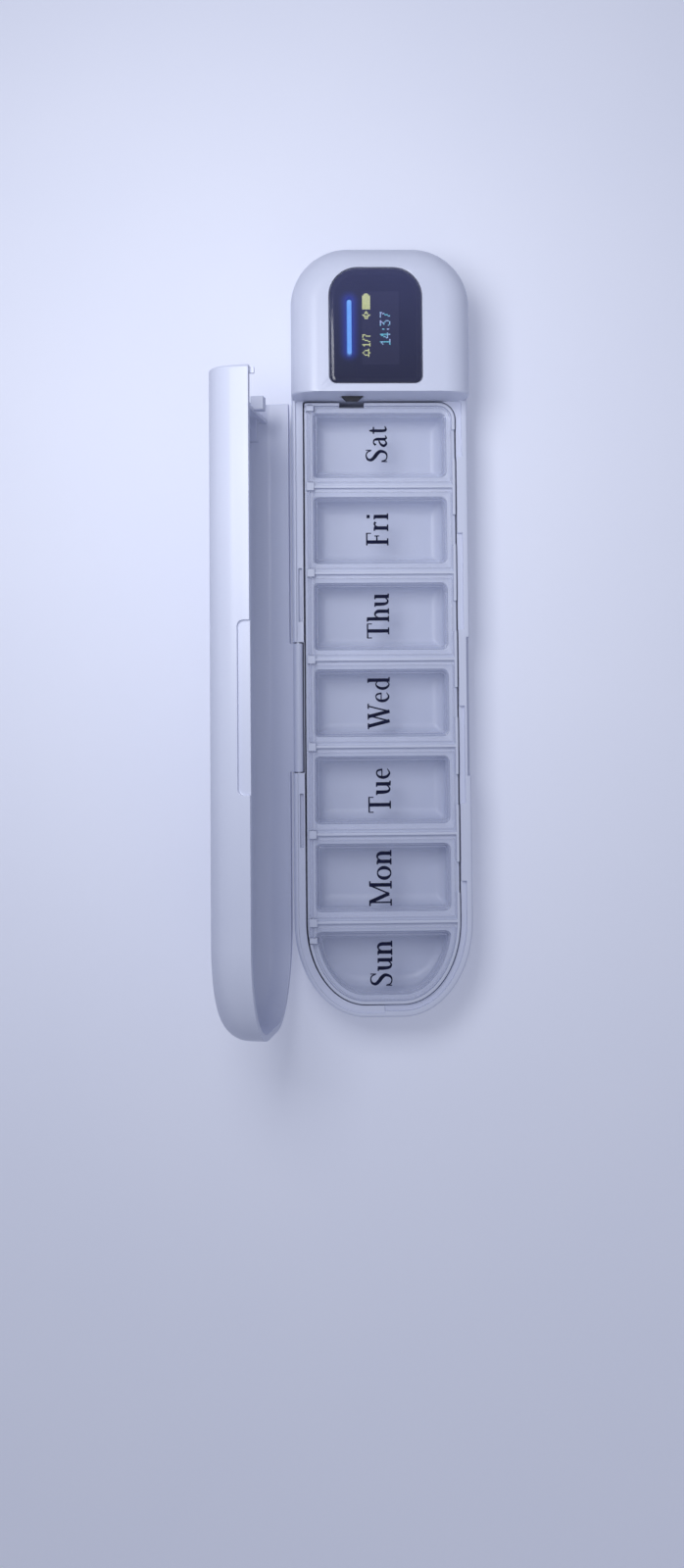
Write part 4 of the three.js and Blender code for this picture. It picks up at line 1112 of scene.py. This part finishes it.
def stroke(x, stretch, *stops):
    """One stroke of the pen as a thin solid on a lid, drawn from a letter's own corner. The
    letter is stretched along its line, and its pen with it by half as much."""
    line = [Vector((stop.x * stretch, stop.y * rise, stop.z * (1 + stretch) / 2))
            for stop in smooth_line(stops)]
    left, right = [], []
    for index, place in enumerate(line):
        ahead = line[min(index + 1, len(line) - 1)] - line[max(index - 1, 0)]
        side = Vector((-ahead.y, ahead.x)).normalized() * place.z / 2
        left.append((x + place.x + side.x, baseline + place.y + side.y))
        right.append((x + place.x - side.x, baseline + place.y - side.y))
    return prism(left + right[::-1], *ink_range)


def stem(x, low=0.0, high=cap, width=thick):
    return (x, low, width), (x, high, width)


def bar(start, end, y, width=thin):
    return (start, y, width), (end, y, width)


def arch(x):
    """The shoulder of an h or n, from its left stem down to its right foot."""
    return ((x, 2.7, thin), (x + 0.65, 3.75, 0.4), (x + 1.3, 3.85, 0.62), (x + 1.8, 3.1, thick),
            (x + 1.85, 1.6, thick), (x + 1.85, 0, thick))


def curve(*numbers):
    """The stops of a curved stroke, given as x, y and width in turn."""
    return tuple(zip(numbers[::3], numbers[1::3], numbers[2::3]))


print("pen widths, mm:", thin, "and", thick)

# %% Letters
# A letter is its width and its strokes. The round o is made apart.
foot, head_bar, flag = 0.16, cap - 0.16, small_height - 0.16
letters = {
    "S": (3.4, curve(2.9, 4.7, 0.25, 2.5, 5.7, 0.35, 1.7, 6.0, 0.36, 0.85, 5.6, 0.6, 0.65, 4.6, 0.8,
                     1.3, 3.7, 0.95, 2.2, 2.9, 1.0, 2.75, 1.9, 0.85, 2.4, 0.6, 0.6,
                     1.6, 0.16, 0.36, 0.7, 0.5, 0.35, 0.35, 1.6, 0.25),
          stem(3.0, 4.5, 6.1, 0.28), stem(0.27, 0.1, 1.75, 0.28)),
    "a": (3.1, curve(2.05, 2.5, 0.3, 1.0, 2.0, 0.5, 0.5, 1.1, 0.75, 0.95, 0.35, 0.6,
                     1.6, 0.5, 0.35, 2.05, 1.1, 0.3), stem(2.1, 0.8, 3.1, 0.78),
          curve(2.1, 3.0, 0.78, 1.85, 3.7, 0.5, 1.2, 3.9, 0.33, 0.65, 3.3, 0.7),
          curve(2.1, 0.9, 0.7, 2.4, 0.32, 0.5, 3.0, 0.6, 0.2)),
    "t": (2.0, curve(0.85, 5.1, 0.3, 0.85, 4.0, 0.75, 0.85, 1.2, 0.78, 1.15, 0.4, 0.6, 1.95, 0.7, 0.2),
          bar(0.1, 1.8, 3.9)),
    "F": (3.3, stem(0.95), bar(0.1, 3.2, head_bar), bar(0.9, 2.5, 3.2), bar(0.1, 1.85, foot),
          stem(3.08, 4.8, cap, 0.28), stem(2.42, 2.5, 3.9, 0.28)),
    "r": (2.6, stem(0.85, 0, 4), bar(0.1, 1.7, foot), bar(0.15, 0.9, flag),
          curve(0.95, 2.7, 0.3, 1.4, 3.6, 0.42, 1.9, 3.85, 0.5, 2.3, 3.5, 0.7)),
    "i": (1.7, stem(0.85, 0, 4), bar(0.1, 1.6, foot), bar(0.15, 0.9, flag), stem(0.85, 5.15, 6.05, 0.9)),
    "T": (4.0, stem(2), bar(0.15, 3.85, head_bar), stem(0.22, 4.8, cap, 0.28),
          stem(3.78, 4.8, cap, 0.28), bar(1.1, 2.9, foot)),
    "h": (3.6, stem(0.85), bar(0.15, 0.9, head_bar), bar(0.1, 1.6, foot), arch(0.95),
          bar(2.05, 3.55, foot)),
    "n": (3.6, stem(0.85, 0, 4), bar(0.15, 0.9, flag), bar(0.1, 1.6, foot), arch(0.95),
          bar(2.05, 3.55, foot)),
    "u": (3.6, curve(0.8, 4.05, thick, 0.8, 2.4, thick, 0.95, 0.9, 0.75, 1.5, 0.3, 0.5,
                     2.1, 0.6, 0.36, 2.65, 1.4, 0.3), stem(2.75, 0, small_height),
          bar(0.1, 0.8, flag), bar(2.05, 2.75, flag), bar(2.75, 3.5, foot)),
    "W": (6.4, curve(0.75, 6.1, thick, 2.1, 0.1, thick), curve(2.05, 0.1, thin, 3.3, 5.6, thin),
          curve(3.15, 6.1, thick, 4.5, 0.1, thick), curve(4.45, 0.1, thin, 5.8, 6.1, thin),
          bar(0, 1.5, head_bar), bar(2.4, 3.9, head_bar), bar(5.1, 6.4, head_bar)),
    "e": (2.9, curve(0.5, 2.4, 0.3, 2.55, 2.4, 0.3),
          curve(2.4, 2.3, 0.5, 2.15, 3.5, 0.5, 1.5, 3.87, 0.33, 0.75, 3.3, 0.6,
                0.5, 2.1, 0.8, 0.8, 0.9, 0.7, 1.6, 0.3, 0.45, 2.6, 0.9, 0.2)),
    "d": (3.5, curve(2.4, 3.3, 0.3, 1.6, 3.85, 0.35, 0.8, 3.2, 0.65, 0.5, 2.0, 0.8,
                     0.8, 0.8, 0.65, 1.6, 0.2, 0.35, 2.4, 0.9, 0.3),
          stem(2.6), bar(1.9, 2.6, head_bar), bar(2.6, 3.35, foot)),
    "M": (6.0, stem(0.95, width=thin), curve(1.0, 6.1, thick, 3.0, 0.7, thick),
          curve(2.95, 0.6, thin, 4.95, 6.1, thin), stem(5.05), bar(0.15, 1.7, foot),
          bar(4.2, 5.95, foot), bar(0.1, 1.2, head_bar), bar(4.9, 5.95, head_bar)),
    "o": (3.3,),
}
print("letters drawn:", " ".join(letters))

# %% Day names
name_length = {"Sun": 13.5, "Mon": 16.7, "Tue": 13.6, "Wed": 15.7, "Thu": 13.7, "Fri": 9.9, "Sat": 11.1}
letter_gap = 0.25


def ring_letter(x, width):
    """A round o, thick at its sides."""
    height = rise * small_height

    def oval(side, top):
        reach = (width / 2 - side, height / 2 - top)
        corner = (reach[0] - 0.01, reach[1] - 0.01)
        return plan(span(x + width / 2, 2 * reach[0]), span(baseline + height / 2, 2 * reach[1]),
                    corner, corner, steps=10)

    hole = prism(oval(1.1 * thick, thin), ink_range[0] - overrun, ink_range[1] + overrun)
    return cut(prism(oval(0, 0), *ink_range), hole)


ink = Finish("navy_ink", IOR=1.45, Specular_IOR_Level=0.15)
ink.dress(ink.noise(1.8).ramp(0.35, 0.7), "0d1029", "171b3b", 0.6 + ink.noise(0.5, 2) * 0.2,
          ink.noise(0.25, 2), 0.006)
for number, (name, length) in enumerate(name_length.items(), start=1):
    widths = [letters[letter][0] for letter in name]
    stretch = (length - letter_gap * (len(name) - 1)) / sum(widths)
    x = (sum(day_range(day_count - number)) - length) / 2
    strokes = []
    for letter, width in zip(name, widths):
        strokes += [stroke(x, stretch, *stops) for stops in letters[letter][1:]]
        if letter == "o":
            strokes.append(ring_letter(x, width * stretch))
        x += width * stretch + letter_gap
    finish_piece(join(*strokes), f"day_name_{number}", f"lid_{number}", ink.material)

# %% [markdown]
# Bought-in parts finish the object: screws, pins, the charging socket and two small boards.
# Most of them only show when the piece is taken apart, or from below and from the head end.
# Zinc-plated steel is brushed along its length, so its noise is stretched that way.

# %% Metal and board finishes
def metal(name, light, dark, stretch):
    """Bright metal with fine lines across the stretched direction."""
    finish = Finish(name, Metallic=1.0)
    lines = finish.noise(0.5, 3, stretch)
    finish.dress(finish.noise(4, 2) * 0.6 + lines * 0.4, dark, light, 0.24 + lines * 0.14,
                 lines, 0.004)
    return finish.material


def striped(finish, letter, pitch, share):
    """1 on the stripes that stand side by side along an axis, 0 between them."""
    return (finish.axis(letter) / pitch).math("FRACT") < share


screw_steel = metal("screw_steel", "c3c6cf", "9fa3ae", (1, 1, 0.15))
pin_steel = metal("pin_steel", "c9ccd4", "a6aab4", (0.15, 1, 1))

# Green solder mask lies over copper tracks, which run one way here and the other way there.
mask = Finish("board_green", IOR=1.5)
patch = mask.noise(9, 0) > 0.5
tracks = striped(mask, "X", 1.27, 0.3) * patch + striped(mask, "Y", 1.0, 0.35) * (1 - patch)
copper = tracks * (mask.noise(5, 1) > 0.46)
mask.dress(copper * 0.8 + mask.noise(3) * 0.2, "0f4a2c", "2a7a4b", 0.28 + mask.noise(2) * 0.12,
           copper, 0.03)

film = Finish("amber_film", IOR=1.6, Coat_Weight=0.3)
strips = striped(film, "Y", 1.0, 0.55)
film.dress(strips * 0.85 + film.noise(2) * 0.15, "a8641c", "c98a34", 0.22 + film.noise(1.5) * 0.12,
           strips, 0.02)

foil = Finish("cell_foil", Metallic=0.85)
creases = foil.node("ShaderNodeTexVoronoi", {"Vector": foil.place, "Scale": 1 / (7 * MM)},
                    "Distance", feature="DISTANCE_TO_EDGE").ramp(0, 0.12)
foil.dress(foil.noise(12), "b9bcc6", "a7abb8", 0.30 + foil.noise(3) * 0.18,
           creases * 0.4 + foil.noise(5) * 0.6, 0.15)

gold = Finish("contact_gold", Metallic=1.0)
gold.wear(Base_Color=gold.mix(gold.noise(0.6), "d9b25c", "c99f48"),
          Roughness=0.2 + gold.noise(0.3) * 0.15)

resin = Finish("chip_resin", IOR=1.5)
resin.dress(resin.noise(0.8), "17181c", "202126", 0.5 + resin.noise(0.4) * 0.2,
            resin.noise(0.15, 2), 0.01)

kept_nodes = {
    black_plastic: ("display_frame", "button_switch", "nose_switch"),
    mask.material: ("main_board", "display_board"),
    film.material: ("display_flex",),
    foil.material: ("battery",),
}
for material, nodes in kept_nodes.items():
    for node in nodes:
        frame["nodes"][node].material_slots[0].material = material
print("finishes given to kept CAD nodes:", sum(map(len, kept_nodes.values())))

# %% [markdown]
# The screws are one shape in three sizes: a pan head with a cross recess on a plain shank.
# A shape that repeats suits Geometry Nodes, so one tree grows the screw from its sizes and
# puts it on every point. Each group of screws is one run of the tree with its own sizes.

# %% Screws by Geometry Nodes
screw = Tree("screws", "Head radius", "Head height", "Shank radius", "Shank length")


def screw_step(bottom, top, length, foot):
    """A round step of the screw, from a foot height upwards."""
    step = screw.node("GeometryNodeMeshCone", {
        "Vertices": 40, "Radius Bottom": bottom, "Radius Top": top, "Depth": length})
    return screw.moved(step, Translation=screw.place(z=foot))


radius, height, shank, length = screw.sizes
low_step = height * 0.55
rounding = screw_step(radius, radius * 0.8, height * 0.45, low_step)
blade = screw.cube(radius * 1.1, radius * 0.24, height * 0.84)
blade = screw.moved(blade, Translation=screw.place(z=height))
blades = [blade, screw.moved(blade, Rotation=(0, 0, math.pi / 2))]
recessed = screw.node("GeometryNodeMeshBoolean", {"Mesh 1": rounding, "Mesh 2": blades},
                      operation="DIFFERENCE")
screw.end(screw.node("GeometryNodeJoinGeometry", {"Geometry": [
    recessed, screw_step(radius, radius, low_step, 0.0),
    screw_step(shank, shank, length, length * -1)]}), screw_steel)


def grow_screws(name, count, sizes, head_down):
    """Screws in place of numbered CAD nodes, their heads up or down."""
    nodes = [f"{name}_{number}" for number in range(1, count + 1)]
    flip = -1 if head_down else 1
    points = [((low.x + high.x) / 2, flip * (low.y + high.y) / 2,
               (-low.z if head_down else high.z) - sizes[1]) for low, high in map(box_mm, nodes)]
    piece = screw.grow(f"{name}s", points, *sizes)
    if head_down:
        piece.data.transform(Matrix.Rotation(math.pi, 4, "X"))
    finish_piece(piece, f"{name}s", "base", screw_steel, nodes)


grow_screws("case_screw", 4, (2.2, 1.5, 1.1, 19.5), True)
grow_screws("board_screw", 3, (1.7, 1.0, 0.8, 2.9), False)
grow_screws("frame_screw", 2, (1.7, 1.0, 0.8, 2.9), True)

# %% [markdown]
# The hinge pins have a small chamfer at both ends, which guides them into their holes. The
# button is a shallow dome on a collar, the buzzer a can with a sound hole, and the nose a
# wedge of black plastic with soft corners. A round part is a stack of circles, so one helper
# turns a list of radii and places into a solid.

# %% Turned parts
def turned_x(stops, y, z):
    """A round solid along X from (radius, place) stops."""
    return along_x([(circle(radius), place) for radius, place in stops], y, z)


chamfer = (0.2, 0.25)
for number in (1, 2):
    low, high = box_mm(f"hinge_pin_{number}")
    radius = (high.z - low.z) / 2
    pin = turned_x([(radius - chamfer[0], low.x), (radius, low.x + chamfer[1]),
                    (radius, high.x - chamfer[1]), (radius - chamfer[0], high.x)],
                   (low.y + high.y) / 2, (low.z + high.z) / 2)
    finish_piece(pin, f"pin_{number}", "base", pin_steel, [f"hinge_pin_{number}"])

low, high = box_mm("set_button")
collar_radius, dome_height, dome_flat = 3.3, 0.4, 1.6
dome = [(dome_flat + (button_radius - dome_flat) * math.cos(a),
         high.x - dome_height + dome_height * math.sin(a)) for a in quarter_turn(6)]
button = turned_x([(collar_radius - 0.2, low.x), (collar_radius, low.x + 0.2),
                   (collar_radius, low.x + 0.8), (button_radius, low.x + 0.8), *dome],
                  port_shift, port_z)
finish_piece(button, "set_button_cap", "button", white_plastic, ["set_button"])

low, high = box_mm("buzzer")
middle = ((low.x + high.x) / 2, (low.y + high.y) / 2)
radius = (high.x - low.x) / 2
can_edge, can_hole, hole_edge, hole_depth = 0.5, 1.1, 0.2, 1.4
can = loft("can", [(circle(size, middle), place) for size, place in (
    (radius, low.z), (radius, high.z - can_edge), (radius - can_edge, high.z),
    (can_hole + hole_edge, high.z), (can_hole, high.z - hole_edge),
    (can_hole, high.z - hole_depth))])
finish_piece(can, "buzzer_can", "base", black_plastic, ["buzzer"], 25)

# %% Nose and charging socket
tip, shoulder, flange, stalk = 1.7, 3.1, 4.3, 1.2
flange_start, flange_end = nose_low.x + 3.4, nose_low.x + 4.6
nose_stops = [(nose_low.x, tip), (joint_x, shoulder), (flange_start, shoulder),
              (flange_start, flange), (flange_end, flange), (flange_end, stalk), (nose_high.x, stalk)]
nose_outline = [(x, nose_middle - y) for x, y in nose_stops]
nose_outline += [(x, nose_middle + y) for x, y in reversed(nose_stops)]
nose = soften(prism(nose_outline, nose_low.z, nose_high.z), 0.2, 30, 3)
finish_piece(nose, "nose_wedge", "nose", black_plastic, ["sensor_nose"])

low, high = box_mm("usb_socket")
socket_wall, socket_lip, socket_depth = 0.32, 0.1, 1.8
socket_size = (high.y - low.y, high.z - low.z)
socket_walls = [(0, low.x), (0, high.x - socket_lip), (socket_lip, high.x), (0.26, high.x),
                (socket_wall, high.x - socket_lip), (socket_wall, low.x + socket_depth)]
socket = along_x([(stadium(*(size - 2 * margin for size in socket_size)), place)
                  for margin, place in socket_walls], -port_shift, port_z)
finish_piece(socket, "charging_socket", "base", pin_steel, ["usb_socket"])
contact_tongue = block((low.x + 1.6, high.x - 0.6), span(-port_shift, 6.6), span(port_z, 0.7))
finish_piece(soften(contact_tongue, fine_edge, 30), "socket_tongue", "base", black_plastic)
contacts = [(high.x - 2.2, -port_shift + (i - 5.5) * 0.5, port_z + side * 0.36)
            for i in range(12) for side in (-1, 1)]
repeat_cubes("socket_contacts", "steel", gold.material, contacts, 2.6, 0.26, 0.06)

# %% Board parts
board_top = box_mm("main_board")[1].z
chips = [(88.6, 7.0), (99.4, 8.6)]
chip_size, leg_size, small_size = (5.0, 5.0, 0.9), (0.4, 0.9, 0.24), (1.2, 0.7, 0.6)
legs = [(x + dx, y + dy) for x, y in chips for dx in (-2.0, -1.2, -0.4, 0.4, 1.2, 2.0)
        for dy in (-2.8, 2.8)]
small = [(85.0, 10.8), (87.2, 10.8), (89.4, 10.8), (92.6, 4.0), (92.6, 5.6), (92.6, 9.0),
         (104.6, 6.4), (104.6, 8.2), (97.0, -7.0), (99.2, -7.0), (101.4, -7.0), (97.0, -9.4)]
for name, slot, material, places, size in (
        ("board_chips", "black_plastic", resin.material, chips, chip_size),
        ("chip_legs", "steel", pin_steel, legs, leg_size),
        ("board_small_parts", "steel", gold.material, small, small_size)):
    standing = [(x, y, board_top + size[2] / 2) for x, y in places]
    repeat_cubes(name, slot, material, standing, *size)

# %% Bounds of the CAD frame and of the finished scene
size = [[list(corner) for corner in pair] for pair in (cad_box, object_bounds())]
